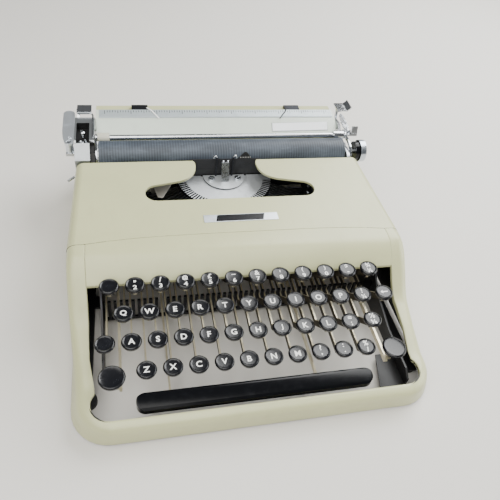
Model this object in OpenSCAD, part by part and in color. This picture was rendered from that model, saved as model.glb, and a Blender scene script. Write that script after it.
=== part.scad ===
// Portable typewriter, every piece as its own solid, at real size in millimetres.
// X runs to the typist's right, Y to the back, Z up from the table.
// The origin is the middle of the footprint on the table.

/* [Body] */
// Width of the lower shell
body_w = 286; // [270:1:300]
// Depth of the lower shell, front wall to rear wall
body_d = 306; // [300:1:320]
// Height of the front bar above the table
front_h = 22.5; // [20:0.5:26]
// Height of the deck above the table
deck_h = 67; // [64:0.5:72]
// Thickness of the shell and of the cover
wall = 2.2; // [1.6:0.1:2.6]
// Plan radius of the front corners
front_corner_r = 30; // [22:1:40]
// Plan radius of the rear corners
rear_corner_r = 22; // [14:1:30]
// Width of the top of the front bar, over its rounding
front_bar_w = 8.5; // [8:0.5:9.5]
// Width of the top of the side arms, over their rounding
arm_w = 15; // [12:0.5:17]
// Lean of the arms' outer walls at the front, from foot to top
arm_lean = 6.5; // [0:0.5:8]
// Rounding along the top of the front bar and the arms
edge_r = 6.5; // [4:0.5:8]
// Rear edge of the keyboard opening, from the front wall
well_back = 108; // [104:1:112]
// Height of the ledge that the cover stands on
ledge_h = 50; // [48:0.5:52]
// Height of the shell behind the cover, under the carriage
tail_h = 46; // [42:0.5:47]

/* [Cover] */
// Front edge of the ribbon cover, from the front wall
cover_front = 136.5; // [134:0.5:140]
// Rear edge of the ribbon cover, from the front wall
cover_back = 239; // [236:0.5:240]
// How far the seam bows back in the middle
seam_bow = 5; // [0:0.5:6]
// Rise of the deck from the seam to its rear edge
deck_rise = 1.5; // [0:0.25:2.5]
// Narrowing of the cover on each side, front to rear
cover_taper = 4.5; // [0:0.5:6]
// Rounding along the sides of the deck
deck_r = 8; // [5:0.5:11]
// Width of the opening over the type basket
slot_w = 157; // [140:1:166]
// Front edge of that opening, from the front wall
slot_front = 184; // [180:0.5:190]
// Width of the neck in front of the printing point
neck_w = 59; // [50:1:70]
// Seam round the cover, and other resting gaps
seam = 0.3; // [0.2:0.05:0.5]

/* [Keyboard] */
// Spacing of the keys along a row
key_pitch = 19.05; // [18.6:0.05:19.4]
// Spacing of the rows in plan
row_pitch = 19; // [18.6:0.1:19.6]
// Rise from one row to the next
row_rise = 9.4; // [8.6:0.1:10]
// Middle of the front row, from the front wall
first_row_y = 38; // [36:0.5:41]
// Top of the front row above the table
first_row_z = 36; // [34.5:0.5:38]
// Diameter of a typing key
key_d = 15; // [13.5:0.1:15.2]
// Diameter of a shift key
shift_d = 19.5; // [17:0.5:20]
// Depth of a key's skirt
key_skirt = 4.5; // [3.5:0.1:5.5]
// Depth of the socket under a key
key_socket = 5.5; // [4.5:0.1:6]
// Thickness of a key lever
lever_t = 1.4; // [1:0.1:1.6]
// Depth of a key lever
lever_h = 5; // [4:0.1:5.5]
// Height of the levers' middle line at rest
lever_z = 20; // [19:0.5:21]
// Shaft that all the levers turn on, from the front wall
pivot_y = 236; // [234:0.5:238]
// Diameter of that shaft
pivot_d = 5; // [4:0.1:6]
// Diameter of the eye at the rear end of a lever
eye_d = 10; // [9:0.5:11]
// Running clearance of a pin in its bore, on the diameter
fit = 0.1; // [0.06:0.01:0.16]
// Width of a slot in the comb that guides the levers
comb_slot = 2.2; // [2:0.1:2.6]
// Length of the space bar
space_l = 180; // [166:1:190]
// Depth of the space bar
space_w = 13; // [11:0.5:14]
// Top of the space bar above the table
space_z = 28.5; // [27:0.5:30]

/* [Type basket] */
// Outer radius of the slotted segment
segment_r = 47; // [44:0.5:50]
// Top of the segment above the table
segment_z = 50; // [48:0.5:52]
// Thickness of the segment
segment_t = 6; // [5:0.5:7]
// Angle from one typebar to the next
bar_step = 3.65; // [3.3:0.05:3.8]
// Thickness of a typebar
bar_t = 1.1; // [0.8:0.05:1.2]
// Width of a slot in the segment
bar_slot = 1.6; // [1.4:0.05:1.8]
// Reach of the type heads from the middle of the segment
bar_reach = 88; // [84:0.5:92]
// Diameter of a ribbon spool
spool_d = 43; // [38:0.5:44]
// Distance of a ribbon spool from the middle
spool_x = 99; // [97:0.5:104]
// Width of the ribbon
ribbon_w = 12; // [11.5:0.1:12.1]

/* [Carriage] */
// Platen axis, from the front wall
platen_y = 255; // [254:0.5:257]
// Platen axis above the table
platen_z = 65; // [64:0.5:68]
// Diameter of the platen
platen_d = 27; // [25:0.5:28]
// Left end of the platen
platen_left = -117.5; // [-118:0.5:-110]
// Right end of the platen
platen_right = 125; // [115:0.5:126]
// Diameter of the platen shaft
platen_shaft_d = 6; // [5:0.1:6.5]
// Diameter of the knob's rim
knob_d = 22.6; // [21:0.2:23.6]
// Thickness of the knob
knob_t = 10.5; // [8:0.5:12]
// Thickness of the end casting on the left
left_end_t = 18; // [15:0.5:18]
// Thickness of the end plate on the right
right_end_t = 3; // [2:0.5:4]
// Rearmost point of the carriage, from the front wall
carriage_back = 320; // [318:0.5:326]
// Length of the return lever's blade, from its pin
blade_l = 52; // [46:1:58]
// Width of the return lever's blade
blade_w = 10.6; // [9:0.2:12]
// Diameter of the paper bail rod
bail_d = 5; // [4:0.1:5.5]
// Diameter of the sleeves on the bail
sleeve_d = 9; // [8:0.1:9.4]

/* [Hidden] */
$fn = 48;
tiny = 0.01;

// Lanes: each lever has its own, a quarter of the key spacing apart
lane = key_pitch / 4;
first_lane_x = -96.5 / 19.05 * key_pitch;
function lane_x(n) = first_lane_x + n * lane;

// Lanes of the other keys, and the gaps that the arms of the space bar run in
lock_lane = -4;
margin_lane = -3;
shift_left_lane = -2;
shift_right_lane = 42;
backspace_lane = 43;
arm_lanes = [5.4, 29.4];
comb_lanes = [for (n = [lock_lane : backspace_lane]) n];

// Keys by row, front row first: first lane, then names
ROWS = [
    [2, ["z", "x", "c", "v", "b", "n", "m", "comma", "period", "slash"]],
    [0, ["a", "s", "d", "f", "g", "h", "j", "k", "l", "semicolon", "eighth"]],
    [-1, ["q", "w", "e", "r", "t", "y", "u", "i", "o", "p", "quarter"]],
    [1, ["2", "3", "4", "5", "6", "7", "8", "9", "0", "hyphen", "half"]],
];
// One entry for each typing key: node name, lane, row
KEYS = [
    for (row = [0 : len(ROWS) - 1])
        for (i = [0 : len(ROWS[row][1]) - 1])
            [str("key_", ROWS[row][1][i]), ROWS[row][0] + 4 * i, row]
];
ALL_KEYS = concat(
    [["shift_lock_key", lock_lane, 1], ["backspace_key", backspace_lane, 2],
     ["margin_release_key", margin_lane, 3]],
    KEYS
);
function row_y(row) = first_row_y + row * row_pitch;
function row_z(row) = first_row_z + row * row_rise;

// Colours, as the object shows them
beige = [0.76, 0.75, 0.66];
black = [0.07, 0.07, 0.08];
lever_metal = [0.72, 0.67, 0.52];
dark_steel = [0.16, 0.16, 0.17];
silver = [0.75, 0.76, 0.77];
chrome = [0.85, 0.86, 0.88];
platen_grey = [0.22, 0.23, 0.26];
table_cream = [0.82, 0.81, 0.75];

// Feet and the gap under the shell
foot_h = 2;
foot_d = 14;
foot_inset = 36;
foot_x = 131;
foot_rail_w = 8;
shell_z = foot_h;

// Side profile of the shell: level front, a gentle slope, then the rise to the deck
slope_start = 36;
rise_start = 78;
rise_end = 128;
arm_slope = 0.2;
function clamp01(t) = min(1, max(0, t));
function smooth(t) = t * t * (3 - 2 * t);
slope_end_h = front_h + arm_slope * (rise_start - slope_start);
function top_h(y) =
    front_h + arm_slope * (max(slope_start, min(y, rise_start)) - slope_start)
    + (deck_h - slope_end_h) * smooth(clamp01((y - rise_start) / (rise_end - rise_start)));
function half_w(y) = body_w / 2 - cover_taper * clamp01((y - cover_front) / (cover_back - cover_front));
function lean(y) = arm_lean * (1 - smooth(clamp01((y - front_corner_r) / (100 - front_corner_r))));
function shell_h(y) = y < cover_front - seam / 2 ? top_h(y) : y < cover_back + 1 ? ledge_h : tail_h;

// Hairline seat between pieces that are fastened to each other
seat = 0.1;

// Chassis
plate_x = 118;
plate_t = 1.6;
shift_t = 2;
comb_y = 107;
comb_t = 2;
comb_z0 = 4;
comb_z1 = 28;
key_dip = 11;
comb_floor = lever_z - lever_h / 2 - key_dip * (pivot_y - comb_y) / (pivot_y - row_y(3)) - 0.8;
rail_y = 281;
rail_w = 10;
rail_z0 = tail_h;
rail_z1 = rail_z0 + 7;
beam_y = 226;
beam_z = 27;
pad_r = 82;
pad_w = 5;
pad_z = 38.5;

// Type basket
segment_y = pivot_y + 2;
slot_neck_x = neck_w / 2;
ribbon_y = cover_back + 0.3;
ribbon_lift = 6;
ribbon_gap = 7;
spool_y = 196;
spool_z = 50.8;
lip_z = spool_z + 0.8 + ribbon_w + 0.4;
bar_pivot_r = 42;
bar_droop = 0.2;

// Carriage
carriage_z = rail_z0 + 4.5;
bed_front = rail_y - 9;
bed_back = rail_y + rail_w + 9;
bed_top = rail_z1 + 2.5;
left_end_x = platen_left - 3.5 - left_end_t;
right_end_x = platen_right + 4;
knob_x = right_end_x + right_end_t + 18 - knob_t;
rim_t = 5.8;
blade_z = platen_z + 14.5;
blade_t = 2.5;
blade_x = left_end_x - 0.4 - blade_w / 2;
lever_pin = [left_end_x - 4.5, platen_y + 2];
bracket_z = platen_z + 1;

// Paper bail: its sleeves lie on the platen, a seam away, behind its top
bail_lean = 61.5;
bail_r = platen_d / 2 + sleeve_d / 2 + seam;
bail_rod = [platen_y + bail_r * sin(bail_lean), platen_z + bail_r * cos(bail_lean)];
bail_pin = [platen_y - 10.5, platen_z - 7];
bail_pin_d = 3;
bail_arm_t = 1.4;

// Paper release lever on the right end, and the shaft of the carriage release
paper_pin = [platen_y + 29, platen_z - 3];
paper_pin_d = 3;
release_pin = [bed_back + 3, platen_z + 5];
release_d = 4;

// Moves what children draw from the front wall to the middle of the footprint
module in_place() {
    translate([0, -carriage_back / 2, 0]) children();
}

// A prism with its profile in Y and Z, between two places on X
module along_x(x0, x1) {
    translate([x0, 0, 0]) rotate([90, 0, 90]) linear_extrude(x1 - x0) children();
}

// A prism with its profile in X and Z, between two places on Y
module along_y(y0, y1) {
    translate([0, y1, 0]) rotate([90, 0, 0]) linear_extrude(y1 - y0) children();
}

// A round bar along X
module rod_x(x0, x1, y, z, d) {
    translate([x0, y, z]) rotate([0, 90, 0]) cylinder(d = d, h = x1 - x0);
}

function unit(v) = v / norm(v);
function left_of(v) = [-v[1], v[0]];

// Outline of a strip of even width along a chain of points
function strip_side(points, offset_by) = [
    for (i = [0 : len(points) - 1])
        let (
            before = unit(points[max(i, 1)] - points[max(i, 1) - 1]),
            after = unit(points[min(i, len(points) - 2) + 1] - points[min(i, len(points) - 2)]),
            across = unit(left_of(before) + left_of(after)),
            stretch = 1 / (across * left_of(before))
        )
        points[i] + across * offset_by * stretch
];
function reversed(list) = [for (i = [len(list) - 1 : -1 : 0]) list[i]];
module strip(points, width) {
    polygon(concat(strip_side(points, width / 2), reversed(strip_side(points, -width / 2))));
}

// Points on a curve that leaves a towards b and arrives at c
function bend(a, b, c, steps = 6) = [
    for (i = [0 : steps])
        let (t = i / steps)
        (1 - t) * (1 - t) * a + 2 * t * (1 - t) * b + t * t * c
];
function arc(centre, r, a0, a1, steps) = [
    for (i = [0 : steps])
        let (a = a0 + (a1 - a0) * i / steps)
        centre + r * [cos(a), sin(a)]
];

// Stations round the right half of the shell, front middle to rear middle:
// point on the outline, then the direction into the shell
function shell_half() = concat(
    [[[0, 0], [0, 1]]],
    [for (a = [0 : 11.25 : 90]) [
        [body_w / 2 - front_corner_r, front_corner_r] + front_corner_r * [sin(a), -cos(a)],
        [-sin(a), cos(a)]
    ]],
    [for (y = concat(
        [slope_start, (slope_start + rise_start) / 2],
        [for (t = [0 : 0.1 : 1]) rise_start + t * (rise_end - rise_start)],
        [cover_front - seam, cover_front, cover_back + 0.9, cover_back + 1.1]
    )) [[half_w(y), y], [-1, 0]]],
    [for (a = [0 : 15 : 90]) [
        [half_w(body_d) - rear_corner_r, body_d - rear_corner_r] + rear_corner_r * [cos(a), sin(a)],
        [-cos(a), -sin(a)]
    ]],
    [[[0, body_d], [0, -1]]]
);
function mirrored(station) = [[-station[0][0], station[0][1]], [-station[1][0], station[1][1]]];
function shell_ring() = let (half = shell_half()) concat(
    half,
    [for (i = [len(half) - 2 : -1 : 1]) mirrored(half[i])]
);

// Section of the shell wall: distance in from the outline, then height.
// side is 1 along the arms, where the outer wall leans in, and 0 across the front
lip = 4.6;
lip_r = 1.2;
corner_fill = 4;
function flange_w(y) = y > cover_front - seam / 2 ? 7
    : y < front_corner_r ? front_bar_w + (arm_w + corner_fill - front_bar_w) * y / front_corner_r
    : arm_w + corner_fill * (1 - smooth(clamp01((y - front_corner_r) / 35)));
function rounding(y) = y > cover_back + 1 ? 3 : y > cover_front - seam / 2 ? 1
    : edge_r + (deck_r - edge_r) * clamp01((y - rise_start) / (rise_end - rise_start));
function wall_section(y, side) =
    let (
        h = shell_h(y),
        r = rounding(y),
        f = flange_w(y) - lean(y) * side,
        inner = max(r, wall + 0.4),
        upright = concat(
            [[0, shell_z]],
            arc([r, h - r], r, 180, 90, 4),
            arc([f - lip_r, h - lip_r], lip_r, 90, 0, 2),
            [[f, h - lip], [f - wall, h - lip]],
            [[f - wall - 0.1, h - wall - 0.2]],
            arc([inner, h - inner], inner - wall, 90, 180, 3),
            [[wall, shell_z]]
        )
    )
    [for (p = upright) [p[0] + lean(y) * side * (p[1] - shell_z) / (h - shell_z), p[1]]];

// A closed ring through sections placed at stations
module ring_sweep(stations) {
    sections = [
        for (s = stations)
            [for (p = wall_section(s[0][1], abs(s[1][0]))) [s[0][0] + s[1][0] * p[0], s[0][1] + s[1][1] * p[0], p[1]]]
    ];
    n = len(sections[0]);
    count = len(sections);
    points = [for (section = sections) each section];
    faces = [
        for (i = [0 : count - 1], j = [0 : n - 1])
            let (
                a = i * n + j,
                b = i * n + (j + 1) % n,
                c = ((i + 1) % count) * n + (j + 1) % n,
                d = ((i + 1) % count) * n + j
            )
            each [[a, b, c], [a, c, d]]
    ];
    polyhedron(points = points, faces = faces);
}

// Plan of the seam in front of the cover, bowed back in the middle
seam_half = body_w / 2 - arm_w;
function seam_y(x) = cover_front + seam_bow * (1 - pow(min(1, abs(x) / seam_half), 4));
module behind_seam(shift) {
    polygon(concat(
        [[-body_w, cover_front + shift]],
        [for (t = [-1 : 0.125 : 1]) [t * seam_half, seam_y(t * seam_half) + shift]],
        [[body_w, cover_front + shift], [body_w, cover_back - shift], [-body_w, cover_back - shift]]
    ));
}

// The strip of shell between the keyboard opening and the cover, with the ledge for the cover
forehead_ys = concat(
    [well_back],
    [for (t = [0 : 0.1 : 1]) let (y = rise_start + t * (rise_end - rise_start)) if (y > well_back) y]
);
step_z = deck_h - wall - seam - 2;
module forehead_profile() {
    back = cover_front + seam_bow + 6;
    bend_y = cover_front - wall;
    polygon(concat(
        [for (y = forehead_ys) [y, top_h(y)]],
        [[back, deck_h], [back, step_z - wall], [bend_y, step_z - wall], [bend_y, deck_h - wall]],
        [for (y = reversed(forehead_ys)) [y, top_h(y) - wall]],
        [[well_back, top_h(well_back) - lip], [well_back - wall, top_h(well_back) - lip]],
        [[well_back - wall, top_h(well_back) - 2.2], [well_back - 0.8, top_h(well_back) - 0.6]]
    ));
}

module body_shell() color(beige) in_place() {
    ring_sweep(shell_ring());
    difference() {
        along_x(-seam_half - tiny, seam_half + tiny) forehead_profile();
        translate([0, 0, step_z]) linear_extrude(deck_h) behind_seam(-seam);
    }
}

// Half outline of the opening in the cover, from the middle of its front edge to the neck
lobe_r = 10.5;
function slot_half() = concat(
    [[0, slot_front]],
    arc([slot_w / 2 - lobe_r, slot_front + lobe_r], lobe_r, -90, 75, 9),
    bend([slot_w / 2 - lobe_r - 22, slot_front + 26], [neck_w / 2 + 1, slot_front + 31],
         [neck_w / 2, cover_back - 8], 7),
    bend([neck_w / 2, cover_back - 5], [neck_w / 2, cover_back], [neck_w / 2 + 5, cover_back + 2], 4)
);
module type_slot() {
    half = slot_half();
    polygon(concat(half, [for (p = reversed(half)) if (p[0] > 0) [-p[0], p[1]]]));
}
// Right half of the cover's section, and the whole block, narrowing and rising to the rear
module half_deck(inset) {
    half = body_w / 2 - inset;
    r = deck_r - inset;
    top = deck_h - inset;
    translate([-20, -20]) square([half + 20, top - r + 20]);
    translate([-20, -20]) square([half - r + 20, top + 20]);
    translate([half - r, top - r]) circle(r);
}
module deck_block(inset) {
    depth = cover_back - cover_front;
    translate([0, cover_front, deck_h]) rotate([atan(deck_rise / depth), 0, 0])
        for (side = [0, 1]) mirror([side, 0, 0]) rotate([0, 0, atan(cover_taper / depth)])
            translate([0, 0, -deck_h]) along_y(-20, depth + 20) half_deck(inset);
}

module ribbon_cover() color(beige) in_place() difference() {
    intersection() {
        deck_block(0);
        linear_extrude(2 * deck_h) behind_seam(0);
    }
    intersection() {
        deck_block(wall);
        union() {
            linear_extrude(2 * deck_h) behind_seam(wall);
            translate([-body_w, cover_front - 1, 0]) cube([2 * body_w, cover_back - cover_front + 2, lip_z]);
        }
    }
    translate([-body_w, cover_front - 1, -1]) cube([2 * body_w, cover_back - cover_front + 2, ledge_h + seam + 1]);
    translate([0, 0, ledge_h]) linear_extrude(deck_h) type_slot();
}

// Side plate of the chassis, from its front end back to the seat of the carriage rail
module side_plate(x, front) {
    along_x(x, x + plate_t) difference() {
        polygon([
            [front, comb_z0], [front, 14], [front + 8, 19], [62, 19], [96, 27], [112, 40], [200, 42],
            [rail_y - 20, 42], [rail_y - 14, rail_z0], [body_d - 8, rail_z0], [body_d - 8, comb_z0]
        ]);
        translate([pivot_y, lever_z]) circle(d = pivot_d + fit);
        translate([150, 22]) circle(d = 18);
        translate([185, 22]) circle(d = 18);
    }
}
module comb() {
    difference() {
        translate([-plate_x + seat, comb_y, comb_z0]) cube([2 * (plate_x - seat), comb_t, comb_z1 - comb_z0]);
        for (n = comb_lanes) {
            w = comb_slot + (n == shift_left_lane || n == shift_right_lane ? shift_t - lever_t : 0);
            translate([lane_x(n) - w / 2, comb_y - 1, comb_floor]) cube([w, comb_t + 2, comb_z1]);
        }
        for (n = arm_lanes)
            translate([lane_x(n) - lane / 2, comb_y - 1, comb_floor]) cube([lane, comb_t + 2, comb_z1]);
    }
}
// Padded rest for the type heads: an arc, carried by an arm on each side plate
module type_rest() {
    translate([0, segment_y, pad_z - 3]) difference() {
        cylinder(r = pad_r + pad_w / 2, h = 3);
        translate([0, 0, -1]) cylinder(r = pad_r - pad_w / 2, h = 5);
        translate([-2 * pad_r, -18, -1]) cube([4 * pad_r, 4 * pad_r, 5]);
    }
    x0 = pad_r - pad_w / 2 - 1;
    reach = plate_x - seat - x0;
    for (side = [-1, 1])
        translate([side > 0 ? x0 : -x0 - reach, segment_y - 24, pad_z - 6 - seat]) cube([reach, 6, 3]);
}
module spool_post(side) {
    reach = plate_x - seat - spool_x + 6;
    translate([side * spool_x, spool_y, pad_z - 6]) {
        cylinder(d = 6, h = spool_z + ribbon_w + 1 - pad_z + 6);
        translate([0, 0, spool_z - 2.4 - pad_z + 6]) cylinder(d = 16, h = 2);
    }
    translate([side > 0 ? spool_x - 6 : -plate_x + seat, spool_y - 6, pad_z - 8]) cube([reach, 12, 2]);
}
// Rail under one arm that carries two rubber feet, with three brackets to the side plate
module foot_rail() {
    x0 = foot_x - foot_rail_w / 2;
    y0 = foot_inset - 8;
    y1 = body_d - foot_inset + 8;
    translate([0, 0, comb_z0]) linear_extrude(2) polygon([
        [x0 + 1, y0], [x0 + foot_rail_w, y0], [x0 + foot_rail_w - cover_taper, y1], [x0 - cover_taper, y1]
    ]);
    for (y = [cover_front - 16, pivot_y - 30, body_d - foot_inset - 10])
        translate([plate_x + plate_t + seat, y, comb_z0]) cube([x0 - plate_x - plate_t, 12, 2]);
    translate([foot_x, foot_inset, 0]) cylinder(d = foot_d, h = comb_z0 - seat);
    translate([foot_x - cover_taper + 0.6, body_d - foot_inset, 0]) cylinder(d = foot_d, h = comb_z0 - seat);
}
// Wire lever that stands out behind the cover on the left, and the block that holds it
wire_pin = [cover_back + 6, tail_h + 2];
module side_wire() {
    x0 = -body_w / 2 + 1;
    translate([-plate_x - plate_t - seat - 5, wire_pin[0] - 3, wire_pin[1] - 14]) cube([5, 6, 15]);
    rod_x(x0, -plate_x - plate_t - 3, wire_pin[0], wire_pin[1], 2.2);
    translate([x0 + 0.3, wire_pin[0], wire_pin[1]]) rotate([90, 0, -42]) cylinder(d = 2.2, h = 8);
}

module chassis() color(dark_steel) in_place() {
    side_plate(plate_x, 16);
    side_plate(-plate_x - plate_t, 50);
    comb();
    rod_x(-plate_x - plate_t, plate_x + plate_t, pivot_y, lever_z, pivot_d);
    along_x(-plate_x + seat, plate_x - seat) polygon([
        [beam_y, beam_z], [beam_y + 12, beam_z], [beam_y + 12, beam_z + 2],
        [beam_y + 2, beam_z + 2], [beam_y + 2, beam_z + 11], [beam_y, beam_z + 11]
    ]);
    translate([-plate_x - plate_t, rail_y, rail_z0 + seat])
        cube([2 * (plate_x + plate_t), rail_w, rail_z1 - rail_z0 - seat]);
    // Corner plate at the front of the right side plate
    translate([0, 0, comb_z0 + 1]) linear_extrude(1.5)
        polygon([[96, 12], [plate_x - seat, 12], [plate_x - seat, 46], [104, 46]]);
    type_rest();
    spool_post(-1);
    spool_post(1);
    foot_rail();
    mirror([1, 0, 0]) foot_rail();
    side_wire();
}

// Typebar on its back at angle zero, pointing along -Y from the middle of the segment
module typebar() {
    z0 = segment_z - 1.2;
    droop = (bar_reach - bar_pivot_r) * bar_droop;
    rotate([90, 0, -90]) translate([0, 0, -bar_t / 2]) linear_extrude(bar_t) polygon([
        [bar_pivot_r - 0.5, z0 - 2.6], [bar_pivot_r - 0.5, z0 - 0.4], [bar_pivot_r + 6, z0 - 1.2],
        [bar_reach, z0 - droop + 1.4], [bar_reach, z0 - droop - 1.2]
    ]);
    rotate([90, 0, -90]) translate([0, 0, -1.4]) linear_extrude(2.8) polygon([
        [bar_reach, z0 - droop - 1.2], [bar_reach, z0 - droop + 5], [bar_reach + 3, z0 - droop + 5],
        [bar_reach + 3, z0 - droop - 1.2]
    ]);
}
module segment() {
    inner_r = 22.8;
    hub_r = inner_r - 2.2;
    difference() {
        union() {
            translate([0, 0, segment_z - segment_t]) cylinder(r = segment_r, h = segment_t);
            translate([0, 0, segment_z - segment_t]) cylinder(r = hub_r, h = segment_t + 0.4);
        }
        translate([-2 * segment_r, 1, 0]) cube([4 * segment_r, 2 * segment_r, 2 * segment_z]);
        translate([0, 0, segment_z - 1]) difference() {
            cylinder(r = inner_r, h = 2);
            translate([0, 0, -1]) cylinder(r = hub_r, h = 4);
        }
        for (i = [-21 : 21])
            rotate([0, 0, i * bar_step])
                translate([-bar_slot / 2, -segment_r - 1, segment_z - 5.4]) cube([bar_slot, segment_r - bar_pivot_r + 4, 7]);
    }
    translate([-26, beam_y - segment_y, beam_z + 11]) cube([52, segment_y - beam_y + 0.8, segment_z - segment_t - beam_z - 11 + tiny]);
}

module type_basket() color(silver) in_place() {
    translate([0, segment_y, 0]) {
        segment();
        for (i = [-21 : 21]) rotate([0, 0, i * bar_step]) typebar();
        hub_top = segment_z + 0.4 + seat;
        for (side = [-1, 1]) translate([side * 13, -5.8, hub_top]) difference() {
            cylinder(d = 6.4, h = 2);
            rotate([0, 0, 35 * side]) translate([-4, -0.5, 1.1]) cube([8, 1, 2]);
        }
        along_x(-3.7, 3.7) polygon([
            [-10, hub_top], [-6.6, hub_top], [-0.6, hub_top + 17.3], [-3.2, hub_top + 18.3]
        ]);
    }
}

// Ribbon spool: two flanges and the wound ribbon between them
module spool() {
    r = spool_d / 2;
    wound_r = r - 5;
    top = ribbon_w + 1.6;
    rotate_extrude() polygon([
        [3.1, 0], [r, 0], [r, 0.8], [wound_r, 0.8], [wound_r, top - 0.8], [r, top - 0.8], [r, top],
        [8, top], [7, top - 0.6], [3.1, top - 0.6]
    ]);
}
// Path of the ribbon from the left spool round the guides to the right spool
module ribbon() {
    r = spool_d / 2 - 5;
    z = spool_z + 0.8 + tiny;
    w = ribbon_w - 2 * tiny;
    half = [[slot_neck_x + 3, z + ribbon_lift], [slot_neck_x + 22, z], [slot_neck_x + 24, z]];
    chain = concat([for (p = reversed(half)) [-p[0], p[1]]], half);
    along_y(ribbon_y, ribbon_y + 0.5) polygon(concat(chain, [for (p = reversed(chain)) p + [0, w]]));
    for (side = [0, 1]) mirror([side, 0, 0]) translate([0, 0, z]) linear_extrude(w)
        strip([[slot_neck_x + 23.5, ribbon_y + 0.25], [slot_neck_x + 27, ribbon_y - 0.6], [spool_x - 4, spool_y + r - 0.1]], 0.5);
}
module ribbon_gear() color(black) in_place() {
    for (side = [-1, 1]) translate([side * spool_x, spool_y, spool_z]) spool();
    ribbon();
    for (side = [-1, 1])
        translate([side * (ribbon_gap + 1), ribbon_y - 1.2, segment_z + 0.4]) cylinder(d = 1.8, h = ribbon_w + ribbon_lift + 4);
}

// Carriage casting: bed with the groove that runs on the rail, and the two ends
axis = [platen_y, platen_z];
module left_end_profile() {
    y0 = platen_y + 2;
    y1 = bed_back - 1;
    z1 = blade_z;
    polygon([
        [y0, carriage_z], [y0, z1 - 1.5], [y0 + 2, z1], [y1 - 2, z1], [y1, z1 - 1.5], [y1, carriage_z + 9],
        [bed_back, carriage_z]
    ]);
}
// Inner plate of the left end, which carries the platen shaft and the bail
module left_cheek_profile() {
    polygon([
        [platen_y - 12, carriage_z], axis + [-12, -1], axis + [-6, 7], axis + [3, 10], [platen_y + 3, carriage_z]
    ]);
}
module right_end_profile() {
    polygon([
        [platen_y - 12, carriage_z], axis + [-13, -5], axis + [-12, 1], axis + [-6.5, 4.5], axis + [7, 5],
        axis + [15, 3], axis + [21, 5.5], axis + [31, 13.5], [bed_back - 1, platen_z + 11], release_pin + [0, 4],
        release_pin + [4, 0], release_pin + [0, -4], [bed_back, carriage_z]
    ]);
}
// Lug on the left casting that carries the release shaft
module release_lug() {
    translate(release_pin) circle(d = 8);
    translate(release_pin - [13, 4]) square([13, 8]);
}
// Bright bracket over the front of the left end
module front_bracket() {
    along_x(left_end_x, left_end_x + left_end_t - 4.4)
        strip([axis + [1, 13], axis + [-5, 9], axis + [-12.4, 3.4], [platen_y - 12.9, carriage_z + 3]], 1.4);
}
module carriage_frame() color(silver) in_place() {
    difference() {
        right = right_end_x + right_end_t;
        inner = left_end_x + left_end_t;
        union() {
            translate([left_end_x, bed_front, carriage_z])
                cube([right - left_end_x, bed_back - bed_front, bed_top - carriage_z]);
            along_x(left_end_x, inner) left_end_profile();
            along_x(inner - 4, inner) left_cheek_profile();
            along_x(right_end_x, right) right_end_profile();
            along_x(inner - 6, inner) release_lug();
            rod_x(right - 1, right + 4.6, paper_pin[0], paper_pin[1], paper_pin_d);
            rod_x(right - 1, right + 2.6, bail_pin[0], bail_pin[1], bail_pin_d);
            rod_x(inner - 1, inner + 2.4, bail_pin[0], bail_pin[1], bail_pin_d);
            translate([lever_pin[0] - 3.5, lever_pin[1] - 4, bracket_z]) cube([left_end_x - lever_pin[0] + 4.5, 10, 3]);
            translate([lever_pin[0], lever_pin[1], bracket_z + 2]) cylinder(d = 4, h = blade_z - bracket_z - 2.4);
        }
        translate([left_end_x - 1, rail_y - 0.5, carriage_z - 1])
            cube([right - left_end_x + 2, rail_w + 1, rail_z1 + 0.5 - carriage_z + 1]);
        rod_x(left_end_x - 1, right + 1, platen_y, platen_z, platen_shaft_d + fit);
        rod_x(left_end_x - 1, right + 1, release_pin[0], release_pin[1], release_d + fit);
        translate([left_end_x + 1.6, platen_y + 1, blade_z - 7]) cube([left_end_t - 6.2, 31.5, 8]);
    }
    translate([left_end_x + 7.5, platen_y + 15.5, 0]) {
        translate([0, 0, blade_z - 7 + seat]) cylinder(d = 2.4, h = 6);
        translate([0, 0, blade_z - 0.6]) sphere(d = 5);
    }
    front_bracket();
}

// Carriage release: a lever at each end of one shaft
module carriage_release() color(chrome) in_place() {
    cap_x = left_end_x + 1;
    cap_z = blade_z + 1;
    tab_x = right_end_x + right_end_t + 0.5;
    tab_z = platen_z + 18;
    rod_x(cap_x, tab_x + 3, release_pin[0], release_pin[1], release_d);
    along_x(cap_x, cap_x + 3)
        strip([release_pin, release_pin + [5, 6], [release_pin[0] + 6, cap_z + 0.5]], 3);
    translate([cap_x + 0.8, release_pin[0] - 2, cap_z]) cube([13.7, 13, 2.4]);
    along_x(tab_x, tab_x + 2)
        strip([release_pin, release_pin + [2, 6], [release_pin[0] + 3, tab_z + 0.6]], 3);
    along_y(release_pin[0] - 2, release_pin[0] + 13.5)
        strip([[tab_x, tab_z + 0.6], [tab_x + 11, tab_z + 0.6], [tab_x + 14, tab_z + 3], [tab_x + 15, tab_z + 5]], 1.2);
}

module platen() color(platen_grey) in_place() {
    rim_x = knob_x + knob_t - rim_t;
    rod_x(platen_left, platen_right, platen_y, platen_z, platen_d);
    rod_x(left_end_x + left_end_t - 5, platen_left - seat, platen_y, platen_z, platen_shaft_d);
    rod_x(platen_right + seat, knob_x - seat, platen_y, platen_z, platen_shaft_d);
    rod_x(knob_x, rim_x - seat, platen_y, platen_z, knob_d - 3);
    difference() {
        rod_x(rim_x, rim_x + rim_t, platen_y, platen_z, knob_d);
        rod_x(rim_x + rim_t - 1, rim_x + rim_t + 1, platen_y, platen_z, knob_d - 5);
    }
}

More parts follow.
